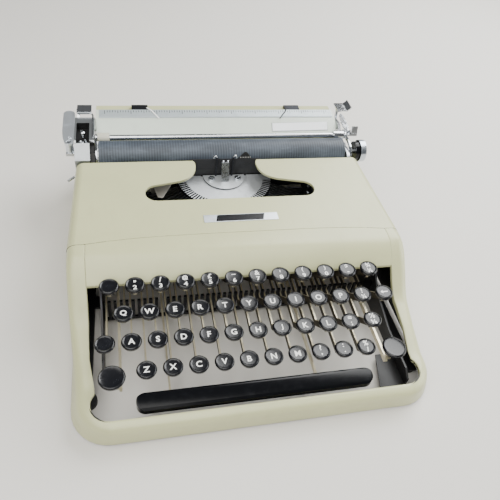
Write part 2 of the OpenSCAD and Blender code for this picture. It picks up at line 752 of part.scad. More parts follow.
table_left = left_end_x + left_end_t + 1.5;
table_right = right_end_x - 1.5;
module paper_table() color(table_cream) in_place() {
    rail_top = platen_z + 14.3;
    front = bed_back + 9;
    along_x(table_left, table_right)
        strip([axis + [21.5, 4], axis + [26, 5.5], axis + [42, 14.5], [bed_back + 6, platen_z + 16.8]], 1.4);
    for (x = [table_left, table_right - 2]) along_x(x, x + 2)
        polygon([[bed_back - 6, platen_z + 11], [front + 1, platen_z + 11], [front + 1, rail_top - 1], [bed_back - 2, platen_z + 14.6]]);
    for (x = [left_end_x + left_end_t, table_right - 1]) along_x(x, x + 2.5)
        polygon([axis + [31, 6], axis + [41, 6], axis + [41, 13.6], axis + [31, 8]]);
    along_x(table_left, table_right) polygon([
        [front, rail_top - 5], [carriage_back, rail_top - 5], [carriage_back, rail_top - 1.4],
        [carriage_back - 1.4, rail_top], [front, rail_top]
    ]);
    // The two margin stops, riding on the rear rail
    for (x = [-77, 83]) along_x(x - 8, x + 8) polygon([
        [front - 1.5, rail_top + seat], [front - 1.5, rail_top + 3], [front + 5, rail_top + 3.8],
        [front + 7, rail_top + 2], [front + 7, rail_top + seat]
    ]);
}

// Paper bail: a rod with a sleeve and an arm at each end
module bail_arm(x) {
    along_x(x, x + bail_arm_t) difference() {
        union() {
            strip([bail_rod, axis + [5, 9.4], axis + [-4, 7.2], axis + [-8.3, 1.2], bail_pin], 3.6);
            translate(bail_pin) circle(d = 6);
            translate(bail_rod) circle(d = 7);
        }
        translate(bail_pin) circle(d = bail_pin_d + fit);
    }
}
module paper_bail() color(chrome) in_place() {
    left = left_end_x + left_end_t + 0.6;
    right = right_end_x + right_end_t + 0.5;
    bail_arm(left);
    bail_arm(right);
    difference() {
        rod_x(left + bail_arm_t + seat, right - seat, bail_rod[0], bail_rod[1], bail_d);
        for (x = [left + bail_arm_t + 0.6, right - 12.6]) rod_x(x - seat, x + 11 + seat, bail_rod[0], bail_rod[1], bail_d + 1);
    }
    for (x = [left + bail_arm_t + 0.6, right - 12.6])
        rod_x(x, x + 11, bail_rod[0], bail_rod[1], sleeve_d);
}

// Return lever: a long blade, narrowing in front to the post that it turns on
module return_lever() color(silver) in_place() {
    x = blade_x;
    y0 = lever_pin[1];
    y1 = y0 + blade_l - blade_w / 2;
    r = blade_w / 2;
    difference() {
        union() {
            translate([lever_pin[0], y0, bracket_z + 3.1]) cylinder(d = 7, h = blade_z - bracket_z - 3.1 - blade_t + tiny);
            translate([0, 0, blade_z - blade_t]) linear_extrude(blade_t) polygon(concat(
                arc([x, y1], r, 0, 180, 12),
                bend([x - r, y0 + 24], [x - r, y0 + 8], [lever_pin[0] - 4, y0], 5),
                arc([lever_pin[0], y0], 4, 180, 360, 10),
                bend([lever_pin[0] + 4, y0], [x + r, y0 + 8], [x + r, y0 + 20], 5)
            ));
        }
        translate([lever_pin[0], y0, 0]) cylinder(d = 4 + fit, h = 2 * blade_z);
    }
}

// Paper release: a bent lever outside the right end, with an upright finger tab
module paper_release() color(chrome) in_place() {
    x0 = right_end_x + right_end_t + 2.5;
    along_x(x0, x0 + 1.6) difference() {
        union() {
            strip([paper_pin, paper_pin + [-4, 10], paper_pin + [-16, 15.5], paper_pin + [-19, 19]], 5);
            translate(paper_pin) circle(d = 8);
        }
        translate(paper_pin) circle(d = paper_pin_d + fit);
    }
    along_x(x0, x0 + 9.3) strip([paper_pin + [-18.8, 14.6], paper_pin + [-18, 17.4]], 1.4);
    along_x(x0 + 2.8, x0 + 9.3) strip([paper_pin + [-18, 17], paper_pin + [-16, 24]], 1.4);
    // The leaf, flat, from the link to its rounded rear end
    translate([x0, paper_pin[0], paper_pin[1] + 13.6]) linear_extrude(1.4) polygon([
        [0.9, -12.5], [0.1, -3], [0.3, 6], [2.1, 19], [4.6, 23.4], [6.4, 20.6], [6.7, 10], [5.8, 0], [3.1, -12]
    ]);
}

// Keytop: dished disc with a raised rim, and the socket that takes the lever
module keytop(d) {
    r = d / 2;
    rotate_extrude() polygon(concat(
        [[0, -key_skirt], [r - 1.4, -key_skirt], [r - 0.7, -key_skirt + 0.8], [r, -1.3], [r - 0.2, -0.7], [r - 0.8, -0.1], [r - 1.1, 0], [r - 1.4, -0.1]],
        [for (t = [1 : -0.25 : 0]) [t * (r - 1.8), -0.9 + 0.5 * t * t]]
    ));
    along_x(-1.6, 1.6) polygon([
        [-4, -key_skirt + tiny], [4, -key_skirt + tiny], [2.4, -key_skirt - key_socket], [-2.4, -key_skirt - key_socket]
    ]);
}

// Key lever: eye on the shaft, straight run, and the slope up to the key's socket
module key_lever(x, y, z_top) {
    z_socket = z_top - key_skirt - key_socket;
    top_end = [y + 1, z_socket + 1.5];
    along_x(x - lever_t / 2, x + lever_t / 2) difference() {
        union() {
            translate([pivot_y, lever_z]) circle(d = eye_d);
            strip([top_end, [top_end[0] + top_end[1] - lever_z, lever_z], [pivot_y, lever_z]], lever_h);
        }
        translate([pivot_y, lever_z]) circle(d = pivot_d + fit);
    }
}

module single_key(key) in_place() {
    x = lane_x(key[1]);
    y = row_y(key[2]);
    z = row_z(key[2]);
    color(black) translate([x, y, z]) keytop(key_d);
    color(lever_metal) key_lever(x, y, z);
}

// Space bar with its two arms, all turning on the levers' shaft
space_x = -5.7;
space_y = 17.5;
arm_z = 15.5;
module space_arm(x) {
    along_x(x - lever_t / 2, x + lever_t / 2) difference() {
        union() {
            translate([pivot_y, lever_z]) circle(d = eye_d);
            polygon([
                [pivot_y, lever_z + lever_h / 2], [pivot_y - 30, arm_z + 2], [space_y + 10, arm_z + 2],
                [space_y + 4, space_z - 7], [space_y - 3, space_z - 7], [space_y - 3, arm_z + 1],
                [space_y + 4, arm_z - 2], [pivot_y - 30, arm_z - 2], [pivot_y, lever_z - lever_h / 2]
            ]);
        }
        translate([pivot_y, lever_z]) circle(d = pivot_d + fit);
    }
}
module space_bar() in_place() {
    y0 = space_y - space_w / 2;
    y1 = space_y + space_w / 2;
    color(black) intersection() {
        along_x(-body_w, body_w) polygon([
            [y0, space_z - 8], [y0, space_z - 3.4], [y0 + 1.6, space_z - 1.8], [y1 - 3, space_z],
            [y1, space_z - 1], [y1, space_z - 8]
        ]);
        linear_extrude(space_z + 1) {
            translate([space_x - space_l / 2 + space_w / 2, y0]) square([space_l - space_w, space_w]);
            for (side = [-1, 1]) translate([space_x + side * (space_l - space_w) / 2, space_y]) circle(d = space_w);
        }
    }
    color(lever_metal) for (n = arm_lanes) space_arm(lane_x(n));
}

// Shift keys: two wide keys on thick levers, tied by a bar behind the shaft
shift_left = [-111.5, 34];
shift_right = [106.5, 34];
shift_z = 37;
module shift_lever(x, key) {
    outer = key[0] < 0 ? key[0] - 1.4 : x - shift_t / 2;
    inner = key[0] < 0 ? x + shift_t / 2 : key[0] + 1.4;
    z_socket = shift_z - key_skirt - key_socket;
    along_x(x - shift_t / 2, x + shift_t / 2) difference() {
        union() {
            translate([pivot_y, lever_z]) circle(d = eye_d);
            translate([pivot_y + 14, lever_z]) circle(d = 8);
            polygon([
                [pivot_y + 14, lever_z - lever_h / 2], [pivot_y + 14, lever_z + lever_h / 2],
                [key[1] - 1.5, lever_z + lever_h / 2], [key[1] - 3, lever_z], [key[1] - 1.5, lever_z - lever_h / 2]
            ]);
        }
        translate([pivot_y, lever_z]) circle(d = pivot_d + fit);
    }
    translate([outer, key[1] - 1.2, lever_z]) cube([inner - outer, 2.4, z_socket - lever_z + 2]);
}
module shift_keys() in_place() {
    color(black) for (key = [shift_left, shift_right])
        translate([key[0], key[1], shift_z]) keytop(shift_d);
    color(lever_metal) {
        shift_lever(lane_x(shift_left_lane), shift_left);
        shift_lever(lane_x(shift_right_lane), shift_right);
        rod_x(lane_x(shift_left_lane), lane_x(shift_right_lane), pivot_y + 14, lever_z, 4);
    }
}

body_shell();
ribbon_cover();
chassis();
type_basket();
ribbon_gear();
carriage_frame();
carriage_release();
platen();
paper_table();
paper_bail();
return_lever();
paper_release();
space_bar();
shift_keys();
for (key = ALL_KEYS) single_key(key);
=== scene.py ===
"""Looks of a portable typewriter, built round its packed construction model.

Lengths in the classes below are millimetres on the machine: X from its middle, Y from its
front wall, Z from the table. The function spot turns them into the scene's metres.
"""

import logging
import math
from abc import ABC, abstractmethod
from dataclasses import dataclass
from enum import Enum
from functools import lru_cache
from typing import Callable, Mapping, Optional, Sequence, Union

import bpy
from mathutils import Matrix, Vector


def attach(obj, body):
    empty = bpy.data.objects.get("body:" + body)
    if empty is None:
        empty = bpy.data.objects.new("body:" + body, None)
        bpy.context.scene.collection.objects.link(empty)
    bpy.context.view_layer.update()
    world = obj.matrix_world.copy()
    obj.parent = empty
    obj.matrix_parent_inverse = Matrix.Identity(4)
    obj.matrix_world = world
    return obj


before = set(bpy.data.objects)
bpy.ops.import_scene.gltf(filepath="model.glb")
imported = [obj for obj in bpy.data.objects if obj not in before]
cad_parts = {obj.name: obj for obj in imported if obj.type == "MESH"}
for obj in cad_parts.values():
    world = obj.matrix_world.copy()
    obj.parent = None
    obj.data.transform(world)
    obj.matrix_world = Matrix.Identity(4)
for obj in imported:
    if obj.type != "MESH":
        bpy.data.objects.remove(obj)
log = logging.getLogger("typewriter")

MM = 0.001
HALF_DEPTH = 160.0
SEGMENT_Y = 238.0
CREASE = 32.0
NEARLY_LEVEL = 0.95
UP = (0.0, 0.0, 1.0)
EVERY = (-math.inf, math.inf)
Colour = tuple[float, float, float]
Point = tuple[float, float, float]
Span = tuple[float, float]
Outline = Sequence[Span]
Number = Union[float, "Signal"]
Pick = Callable[[Vector, Vector], int]


def spot(x: float, y: float, z: float) -> Vector:
    """Turn a place on the machine, in millimetres, into a place in the scene."""
    return Vector((x * MM, (y - HALF_DEPTH) * MM, z * MM))


def within(value: float, span: Span) -> bool:
    """Whether a number lies inside a span."""
    return span[0] < value < span[1]


def over(low: float) -> Span:
    """The span above a number."""
    return (low, math.inf)


def under(high: float) -> Span:
    """The span below a number."""
    return (-math.inf, high)


def tint(code: str) -> Colour:
    """Turn a web colour into the renderer's linear colour.

    Args:
        code: Six hexadecimal digits.

    Returns:
        Linear red, green and blue.
    """
    channels = [int(code[i : i + 2], 16) / 255 for i in (0, 2, 4)]
    r, g, b = (c / 12.92 if c <= 0.04045 else ((c + 0.055) / 1.055) ** 2.4 for c in channels)
    return (r, g, b)


class Signal:
    """A number that varies over a surface, held as the output socket of a shader node."""

    def __init__(self, paint: "Paint", socket: bpy.types.NodeSocket) -> None:
        """Wrap an output socket of a node in a material."""
        self.paint = paint
        self.socket = socket

    def _math(self, operation: str, first: Number, second: Number = 0.0) -> "Signal":
        """Add one Math node and wrap its output."""
        made = self.paint.node("ShaderNodeMath", {"operation": operation}, {0: first, 1: second})
        return Signal(self.paint, made.outputs[0])

    def __add__(self, other: Number) -> "Signal":
        """Add."""
        return self._math("ADD", self, other)

    __radd__ = __add__

    def __sub__(self, other: Number) -> "Signal":
        """Subtract."""
        return self._math("SUBTRACT", self, other)

    def __rsub__(self, other: Number) -> "Signal":
        """Subtract from a plain number."""
        return self._math("SUBTRACT", other, self)

    def __mul__(self, other: Number) -> "Signal":
        """Multiply."""
        return self._math("MULTIPLY", self, other)

    __rmul__ = __mul__

    def __pow__(self, other: Number) -> "Signal":
        """Raise to a power."""
        return self._math("POWER", self, other)

    def sine(self) -> "Signal":
        """Sine of the number, in radians."""
        return self._math("SINE", self)

    def waves(self, pitch: float) -> "Signal":
        """Waves between 0 and 1 along the number, at a pitch in millimetres."""
        return (self * (math.tau / (pitch * MM))).sine() * 0.5 + 0.5

    def step(self, low: float, high: float) -> "Signal":
        """Rise smoothly from 0 to 1.

        Args:
            low: Where the rise starts.
            high: Where it ends.

        Returns:
            The smoothed number.
        """
        made = self.paint.node(
            "ShaderNodeMapRange",
            {"interpolation_type": "SMOOTHSTEP"},
            {"Value": self, "From Min": low, "From Max": high},
        )
        return Signal(self.paint, made.outputs[0])


class Paint:
    """A material being mixed, with its shader and the nodes that vary it."""

    def __init__(self, name: str) -> None:
        """Start a material.

        Args:
            name: The material's name.
        """
        self.material = bpy.data.materials.new(name)
        self.material.use_nodes = True
        self.tree = self.material.node_tree
        self.tree.nodes.clear()
        self.shader = self.node("ShaderNodeBsdfPrincipled")
        self.node("ShaderNodeOutputMaterial", sockets={"Surface": self.shader.outputs["BSDF"]})

    def node(
        self,
        kind: str,
        settings: Optional[Mapping[str, object]] = None,
        sockets: Optional[Mapping[Union[str, int], object]] = None,
    ) -> bpy.types.Node:
        """Add a node of any kind.

        Args:
            kind: Blender's name for the node type.
            settings: Values of its own properties, set first.
            sockets: Values or links of its input sockets.

        Returns:
            The node.
        """
        made = self.tree.nodes.new(kind)
        for name, value in (settings or {}).items():
            setattr(made, name, value)
        for name, value in (sockets or {}).items():
            self.feed(made.inputs[name], value)
        return made

    def feed(self, socket: bpy.types.NodeSocket, value: object) -> None:
        """Link a signal or a socket to an input, or set the input's value.

        Args:
            socket: The input.
            value: A Signal, an output socket, or a plain value.
        """
        if isinstance(value, Signal):
            self.tree.links.new(value.socket, socket)
        elif isinstance(value, bpy.types.NodeSocket):
            self.tree.links.new(value, socket)
        else:
            socket.default_value = value

    def place(self) -> bpy.types.NodeSocket:
        """The surface point in the object's own metres."""
        return self.node("ShaderNodeTexCoord").outputs["Object"]

    def axes(self) -> tuple[Signal, Signal, Signal]:
        """The surface point's three coordinates, in metres."""
        split = self.node("ShaderNodeSeparateXYZ", sockets={0: self.place()})
        return tuple(Signal(self, out) for out in split.outputs)

    def grain(self, size: float, detail: float = 3.0, stretch: Point = (1.0, 1.0, 1.0)) -> Signal:
        """Noise over the surface.

        Args:
            size: Width of its blots in millimetres.
            detail: How many finer layers it has.
            stretch: How many times finer it is along each axis.

        Returns:
            A number round 0.5.
        """
        mapped = self.node("ShaderNodeMapping", sockets={"Vector": self.place(), "Scale": stretch})
        made = self.node(
            "ShaderNodeTexNoise",
            sockets={"Vector": mapped.outputs[0], "Scale": 1.0 / (size * MM), "Detail": detail},
        )
        return Signal(self, made.outputs["Fac"])

    def rounded(self, radius: float) -> bpy.types.NodeSocket:
        """The surface's normal, rounded within a radius in millimetres."""
        return self.node("ShaderNodeBevel", {"samples": 4}, {"Radius": radius * MM}).outputs[0]

    def edges(self, radius: float) -> Signal:
        """How sharply the surface turns within a distance, for wear along edges.

        Args:
            radius: Distance in millimetres.

        Returns:
            0 on flat surfaces, rising towards 1 on edges.
        """
        bevel = self.rounded(radius)
        face = self.node("ShaderNodeNewGeometry")
        along = self.node(
            "ShaderNodeVectorMath",
            {"operation": "DOT_PRODUCT"},
            {0: bevel, 1: face.outputs["Normal"]},
        )
        return 1.0 - Signal(self, along.outputs["Value"])

    def blend(self, factor: Number, first: object, second: object) -> bpy.types.NodeSocket:
        """Mix two colours.

        Args:
            factor: 0 for the first, 1 for the second.
            first: A web colour's code, a linear colour or a socket.
            second: The same.

        Returns:
            The mixed colour.
        """
        ends = [tint(c) if isinstance(c, str) else c for c in (first, second)]
        a, b = [(*c, 1.0) if isinstance(c, tuple) else c for c in ends]
        made = self.node("ShaderNodeMix", {"data_type": "RGBA"}, {0: factor, 6: a, 7: b})
        return made.outputs[2]

    def relief(self, height: Number, depth: float, rounding: float = 0.0) -> None:
        """Raise the surface by a bump, and round its edges in the light.

        Args:
            height: The signal that gives the height.
            depth: Height in millimetres of a signal of 1.
            rounding: Radius of the edges in millimetres.
        """
        bump = self.node("ShaderNodeBump", sockets={"Height": height, "Distance": depth * MM})
        if rounding:
            self.feed(bump.inputs["Normal"], self.rounded(rounding))
        self.feed(self.shader.inputs["Normal"], bump.outputs[0])

    def set(self, **values: object) -> None:
        """Set or link the shader's inputs.

        Args:
            values: Values by the inputs' names, with underscores for spaces.
        """
        for name, value in values.items():
            if name == "Base_Color" and isinstance(value, tuple):
                value = (*value, 1.0)
            self.feed(self.shader.inputs[name.replace("_", " ")], value)


class Finish(ABC):
    """A finish that a piece can be given."""

    name: str

    @abstractmethod
    def mix(self, paint: Paint) -> None:
        """Set the shader and its nodes.

        Args:
            paint: The material being mixed.
        """

    def material(self) -> bpy.types.Material:
        """The finish as a material, mixed once."""
        return _mixed(self)


@lru_cache(maxsize=None)
def _mixed(finish: Finish) -> bpy.types.Material:
    """Mix a finish into its material, once for each finish.

    Args:
        finish: The finish.

    Returns:
        The material.
    """
    paint = Paint(finish.name)
    finish.mix(paint)
    return paint.material


@dataclass(frozen=True)
class Enamel(Finish):
    """Stove enamel on metal: faint orange peel, soft mottling, rubbed edges and a little grime."""

    name: str
    colour: str
    worn: str
    grime: str
    roughness: float = 0.38
    peel: float = 0.012
    rounding: float = 0.5
    coat: float = 0.25

    def mix(self, paint: Paint) -> None:
        """Set the shader and its nodes.

        Args:
            paint: The material being mixed.
        """
        cloud = paint.grain(42.0, 4.0)
        smear = paint.grain(11.0, 6.0, (1.0, 0.45, 1.0)).step(0.52, 0.78)
        fleck = paint.grain(1.3, 2.0).step(0.66, 0.74)
        rub = paint.edges(0.8).step(0.06, 0.35) * paint.grain(4.0, 5.0).step(0.40, 0.60)
        deep = tuple(c * 0.93 for c in tint(self.colour))
        base = paint.blend(cloud.step(0.35, 0.65) * 0.6, self.colour, deep)
        base = paint.blend(smear * 0.10 + fleck * 0.16, base, self.grime)
        base = paint.blend(rub * 0.55, base, self.worn)
        paint.set(
            Base_Color=base,
            Roughness=self.roughness + (cloud - 0.5) * 0.10 + smear * 0.10 - rub * 0.08,
            Coat_Weight=self.coat,
            Coat_Roughness=0.22,
        )
        paint.relief(paint.grain(0.8, 2.0) + cloud * 0.6, self.peel, self.rounding)


@dataclass(frozen=True)
class KeyPlastic(Finish):
    """Moulded black plastic, polished by fingers, with a little dust in its dish."""

    name: str = "black_key_plastic"
    colour: str = "0b0c11"
    dust: str = "1f2228"
    roughness: float = 0.24
    shine: float = 0.5

    def mix(self, paint: Paint) -> None:
        """Set the shader and its nodes.

        Args:
            paint: The material being mixed.
        """
        film = paint.grain(6.0, 5.0).step(0.5, 0.85)
        prints = paint.grain(2.2, 3.0, (1.0, 0.6, 1.0)).step(0.55, 0.8)
        paint.set(
            Base_Color=paint.blend(film * 0.35 + prints * 0.15, self.colour, self.dust),
            Roughness=self.roughness + film * 0.05 + prints * 0.04,
            Specular_IOR_Level=self.shine,
        )
        paint.relief(paint.grain(1.4, 1.0), 0.002)


@dataclass(frozen=True)
class Metal(Finish):
    """Bare or plated metal with fine rubbing marks and some tarnish."""

    name: str
    colour: str
    tarnish: str
    roughness: float = 0.28
    stretch: Point = (1.0, 1.0, 1.0)
    scratch: float = 0.01
    bareness: float = 1.0
    rounding: float = 0.2

    def mix(self, paint: Paint) -> None:
        """Set the shader and its nodes.

        Args:
            paint: The material being mixed.
        """
        stain = paint.grain(7.0, 5.0).step(0.48, 0.76)
        marks = paint.grain(0.7, 3.0, self.stretch)
        paint.set(
            Base_Color=paint.blend(stain * 0.4, self.colour, self.tarnish),
            Metallic=self.bareness,
            Roughness=self.roughness + stain * 0.10 + (marks - 0.5) * 0.12,
        )
        paint.relief(marks, self.scratch, self.rounding)


@dataclass(frozen=True)
class TurnedMetal(Finish):
    """Metal faced on a lathe, with fine rings round an upright axis."""

    name: str
    colour: str
    tarnish: str
    centre: tuple[float, float]
    roughness: float = 0.30
    pitch: float = 0.5

    def mix(self, paint: Paint) -> None:
        """Set the shader and its nodes.

        Args:
            paint: The material being mixed.
        """
        x, y, _ = paint.axes()
        dx = x - self.centre[0] * MM
        dy = y - (self.centre[1] - HALF_DEPTH) * MM
        reach = (dx * dx + dy * dy) ** 0.5
        rings = reach.waves(self.pitch)
        stain = paint.grain(6.0, 5.0).step(0.45, 0.75)
        paint.set(
            Base_Color=paint.blend(stain * 0.35, self.colour, self.tarnish),
            Metallic=0.85,
            Roughness=self.roughness + stain * 0.14 + rings * 0.05,
        )
        paint.relief(rings + paint.grain(0.5, 2.0) * 0.6, 0.008, 0.2)


@dataclass(frozen=True)
class Rubber(Finish):
    """Ground platen rubber: matt, with fine grooves round it and pale paper dust."""

    name: str = "platen_rubber"
    colour: str = "293039"
    dust: str = "778290"
    roughness: float = 0.50
    pitch: float = 2.54

    def mix(self, paint: Paint) -> None:
        """Set the shader and its nodes.

        Args:
            paint: The material being mixed.
        """
        x, _, _ = paint.axes()
        rings = x.waves(self.pitch)
        film = paint.grain(12.0, 5.0, (0.4, 1.0, 1.0)).step(0.35, 0.8)
        scuffs = paint.grain(2.2, 4.0, (0.3, 1.0, 1.0)).step(0.58, 0.7)
        share = film * 0.30 + rings * 0.16 + scuffs * 0.10
        paint.set(
            Base_Color=paint.blend(share, self.colour, self.dust),
            Roughness=self.roughness + film * 0.10,
        )
        paint.relief(rings + paint.grain(0.4, 2.0) * 0.3, 0.03)


@dataclass(frozen=True)
class Cloth(Finish):
    """Close-woven cloth or felt, soaked with ink or left dry."""

    name: str
    colour: str
    fibre: str
    thread: float = 0.35

    def mix(self, paint: Paint) -> None:
        """Set the shader and its nodes.

        Args:
            paint: The material being mixed.
        """
        x, _, z = paint.axes()
        turn = math.tau / (self.thread * MM)
        weave = (x * turn).sine() * (z * turn).sine() * 0.5 + 0.5
        fade = paint.grain(6.0, 4.0).step(0.4, 0.75)
        paint.set(
            Base_Color=paint.blend(fade * 0.35 + weave * 0.15, self.colour, self.fibre),
            Roughness=0.82,
            Sheen_Weight=0.15,
        )
        paint.relief(weave + fade * 0.5, 0.04)


@dataclass(frozen=True)
class Plastic(Finish):
    """Plain moulded plastic with faint flow marks."""

    name: str
    colour: str
    aged: str
    roughness: float = 0.34

    def mix(self, paint: Paint) -> None:
        """Set the shader and its nodes.

        Args:
            paint: The material being mixed.
        """
        flow = paint.grain(8.0, 4.0, (0.3, 1.0, 1.0)).step(0.4, 0.7)
        paint.set(
            Base_Color=paint.blend(flow * 0.4, self.colour, self.aged),
            Roughness=self.roughness + flow * 0.08,
        )
        paint.relief(paint.grain(0.9, 2.0), 0.006, 0.3)


@dataclass(frozen=True)
class Ink(Finish):
    """Filled or printed marks: flat, slightly uneven."""

    name: str
    colour: str
    roughness: float = 0.5

    def mix(self, paint: Paint) -> None:
        """Set the shader and its nodes.

        Args:
            paint: The material being mixed.
        """
        fade = paint.grain(1.2, 3.0).step(0.35, 0.75)
        faded = tuple(c * 0.75 for c in tint(self.colour))
        paint.set(
            Base_Color=paint.blend(fade * 0.2, self.colour, faded),
            Roughness=self.roughness + fade * 0.1,
        )


GREIGE = Enamel("greige_enamel", "bfc095", "dcdcc2", "8f8a66")
CREAM = Enamel("cream_enamel", "cbd4c8", "e0e2da", "9a988c", 0.34, 0.008)
BLACK_ENAMEL = Enamel("black_enamel", "111113", "333332", "262320", 0.5, 0.012, 0.3, 0.0)
# Black for faces inside the shell and the cover, in the carriage recess and on its left cheek:
# painted shade.
SHADE_BLACK = Enamel("inside_painted_shade", "0f0f10", "232322", "1e1b18", 0.55, 0.02, 0.0, 0.0)
KEY_BLACK = KeyPlastic()
BAR_BLACK = KeyPlastic("space_bar_plastic", "08090c", "17191d", 0.16, 0.22)
LEVER_METAL = Metal("lever_metal", "d6cdb2", "a89a78", 0.36, (1.0, 0.12, 1.0), 0.01, 0.7)
# Darker, duller copy of the lever metal for the levers' sides: painted shade.
LEVER_SHADED_SIDE = Metal("lever_side_painted_shade", "463f31", "2c2821", 0.6, (1.0, 0.12, 1.0), 0.003, 0.1)
CHROME = Metal("bright_chrome", "d3d6da", "aeb2b7", 0.12, (0.2, 1.0, 1.0), 0.002)
STEEL = Metal("machined_steel", "c2c6ca", "94979a", 0.26, (1.0, 1.0, 0.2), 0.003)
DARK_STEEL = Metal("dark_steel", "37383c", "221f1d", 0.40)
BAR_STEEL = Metal("typebar_steel", "6f7276", "2f2e2e", 0.30, (1.0, 1.0, 1.0), 0.01)
ALUMINIUM = Metal("satin_aluminium", "e4eaf0", "c3cad1", 0.38, (1.0, 0.1, 1.0), 0.006, 0.9)
SEGMENT_METAL = TurnedMetal("turned_segment_metal", "dfe3e6", "b5b8ba", (0.0, SEGMENT_Y), 0.46)
RING_METAL = Metal("knob_rim_metal", "c3cad2", "8f979f", 0.24, (1.0, 0.15, 0.15), 0.008)
HOUSING_METAL = Metal("housing_metal", "a2a6a8", "8a8e90", 0.30, (1.0, 0.2, 1.0), 0.004, 0.85)
SCALE_METAL = Metal("scale_metal", "aeb7ba", "929ba0", 0.36, (1.0, 0.2, 1.0), 0.003, 0.35)
SHEET_METAL = Metal("basket_sheet_metal", "bdb9ae", "8f8b80", 0.45, (1.0, 1.0, 1.0), 0.004, 0.3)
PLATEN_RUBBER = Rubber()
FOOT_RUBBER = Plastic("foot_rubber", "1b1b1a", "2c2a27", 0.75)
RIBBON_CLOTH = Cloth("ribbon_cloth", "0f1014", "24262c")
PAD_FELT = Cloth("pad_felt", "141312", "2a2724", 0.8)
SLEEVE_CREAM = Plastic("sleeve_cream", "c6c5b4", "aeac99")
PLATE_WHITE = Plastic("bare_plate_white", "f3f6f8", "e4e8ec", 0.3)
LEGEND_WHITE = Ink("legend_white", "f2f2ee")
MARK_BLACK = Ink("mark_black", "1b1c1f")
FLOOR_TINT = tint("d9d6d0")


def flat_on(x: float, y: float, z: float) -> Point:
    """An outline in X and Y, raised in Z."""
    return (x, y, z)


def across_on(y: float, z: float, x: float) -> Point:
    """An outline in Y and Z, raised in X."""
    return (x, y, z)


def facing_on(x: float, z: float, y: float) -> Point:
    """An outline in X and Z, raised in Y."""
    return (x, y, z)


def box(x0: float, y0: float, x1: float, y1: float) -> Outline:
    """Outline of a rectangle between two corners."""
    return [(x0, y0), (x1, y0), (x1, y1), (x0, y1)]


def circle(radius: float, sides: int = 12) -> Outline:
    """Points round a circle."""
    turn = math.tau / sides
    return [(radius * math.cos(i * turn), radius * math.sin(i * turn)) for i in range(sides)]


def slab(width: float, thick: float, chamfer: float = 0.15) -> Outline:
    """Section of a flat bar with its corners taken off."""
    w, t, c = width / 2, thick / 2, chamfer
    return [
        (w, -t + c), (w, t - c), (w - c, t), (-w + c, t),
        (-w, t - c), (-w, -t + c), (-w + c, -t), (w - c, -t),
    ]


class Shape:
    """A mesh in the making: its points in millimetres and its faces with their finish numbers."""

    def __init__(self) -> None:
        """Start with nothing."""
        self.points: list[Point] = []
        self.faces: list[tuple[int, ...]] = []
        self.numbers: list[int] = []

    def _close(self, rings: Sequence[Sequence[Point]], number: int) -> None:
        """Skin a row of rings and cap both ends.

        Args:
            rings: The rings, each with as many points.
            number: The finish of the faces.
        """
        start, n = len(self.points), len(rings[0])
        last = start + (len(rings) - 1) * n
        for ring in rings:
            self.points.extend(tuple(p) for p in ring)
        made: list[tuple[int, ...]] = []
        for a in range(start, last, n):
            made += [(a + i, a + (i + 1) % n, a + n + (i + 1) % n, a + n + i) for i in range(n)]
        made.append(tuple(range(start, start + n))[::-1])
        made.append(tuple(range(last, last + n)))
        self.faces += made
        self.numbers += [number] * len(made)

    def prism(
        self,
        outline: Outline,
        low: float,
        high: float,
        onto: Callable[[float, float, float], Point] = flat_on,
        number: int = 0,
    ) -> "Shape":
        """Extrude an outline; onto takes its two numbers and the height to a place."""
        self._close([[onto(a, b, h) for a, b in outline] for h in (low, high)], number)
        return self

    def sweep(
        self, path: Sequence[Point], section: Outline, up: Point = UP, number: int = 0
    ) -> "Shape":
        """Draw a section along a path.

        Args:
            path: The path's points.
            section: The section, sideways and upwards.
            up: The direction that stays upwards in the section.
            number: The finish of its faces.

        Returns:
            The shape.
        """
        points = [Vector(p) for p in path]
        last = len(points) - 1
        rings = []
        for i, here in enumerate(points):
            ahead = (points[min(i + 1, last)] - points[max(i - 1, 0)]).normalized()
            side = ahead.cross(Vector(up)).normalized()
            lift = side.cross(ahead).normalized()
            rings.append([tuple(here + side * a + lift * b) for a, b in section])
        self._close(rings, number)
        return self

    def turn(self, profile: Outline, place: Point, axis: Point = UP, steps: int = 28) -> "Shape":
        """Turn a profile round an axis.

        Args:
            profile: Radius and height of its points, from the foot to the head.
            place: Where the axis starts.
            axis: Its direction.
            steps: How many steps the turn has.

        Returns:
            The shape.
        """
        along = Vector(axis).normalized()
        side = along.orthogonal().normalized()
        other = along.cross(side)
        rings = []
        for r, h in profile:
            foot = Vector(place) + along * h
            rings.append([tuple(foot + side * a + other * b) for a, b in circle(r, steps)])
        self._close(rings, 0)
        return self

    def screw(self, place: Point, axis: Point, radius: float, lean: float = 0.6) -> "Shape":
        """Add a slotted cheese-head screw; its slot takes the second finish.

        Args:
            place: Where its head sits.
            axis: The direction it stands out.
            radius: Radius of the head.
            lean: Turn of the slot, in radians.

        Returns:
            The shape.
        """
        tall = radius * 0.5
        self.turn([(radius, 0.0), (radius, tall * 0.75), (radius * 0.88, tall)], place, axis, 20)
        along = Vector(axis).normalized()
        side = along.orthogonal().normalized()
        cut = side * math.cos(lean) + along.cross(side) * math.sin(lean)
        ends = [Vector(place) + along * tall + cut * radius * 0.86 * k for k in (-1, 1)]
        self.sweep([tuple(e) for e in ends], slab(radius * 0.24, 0.06, 0.01), axis, 1)
        return self

    def mesh(self, name: str) -> bpy.types.Mesh:
        """Finish the mesh.

        Args:
            name: Its name.

        Returns:
            The mesh, in metres in the shared frame.
        """
        mesh = bpy.data.meshes.new(name)
        mesh.from_pydata([tuple(spot(*p)) for p in self.points], [], self.faces)
        mesh.polygons.foreach_set("material_index", self.numbers)
        mesh.shade_smooth()
        mesh.set_sharp_from_angle(angle=math.radians(CREASE))
        mesh.update()
        return mesh


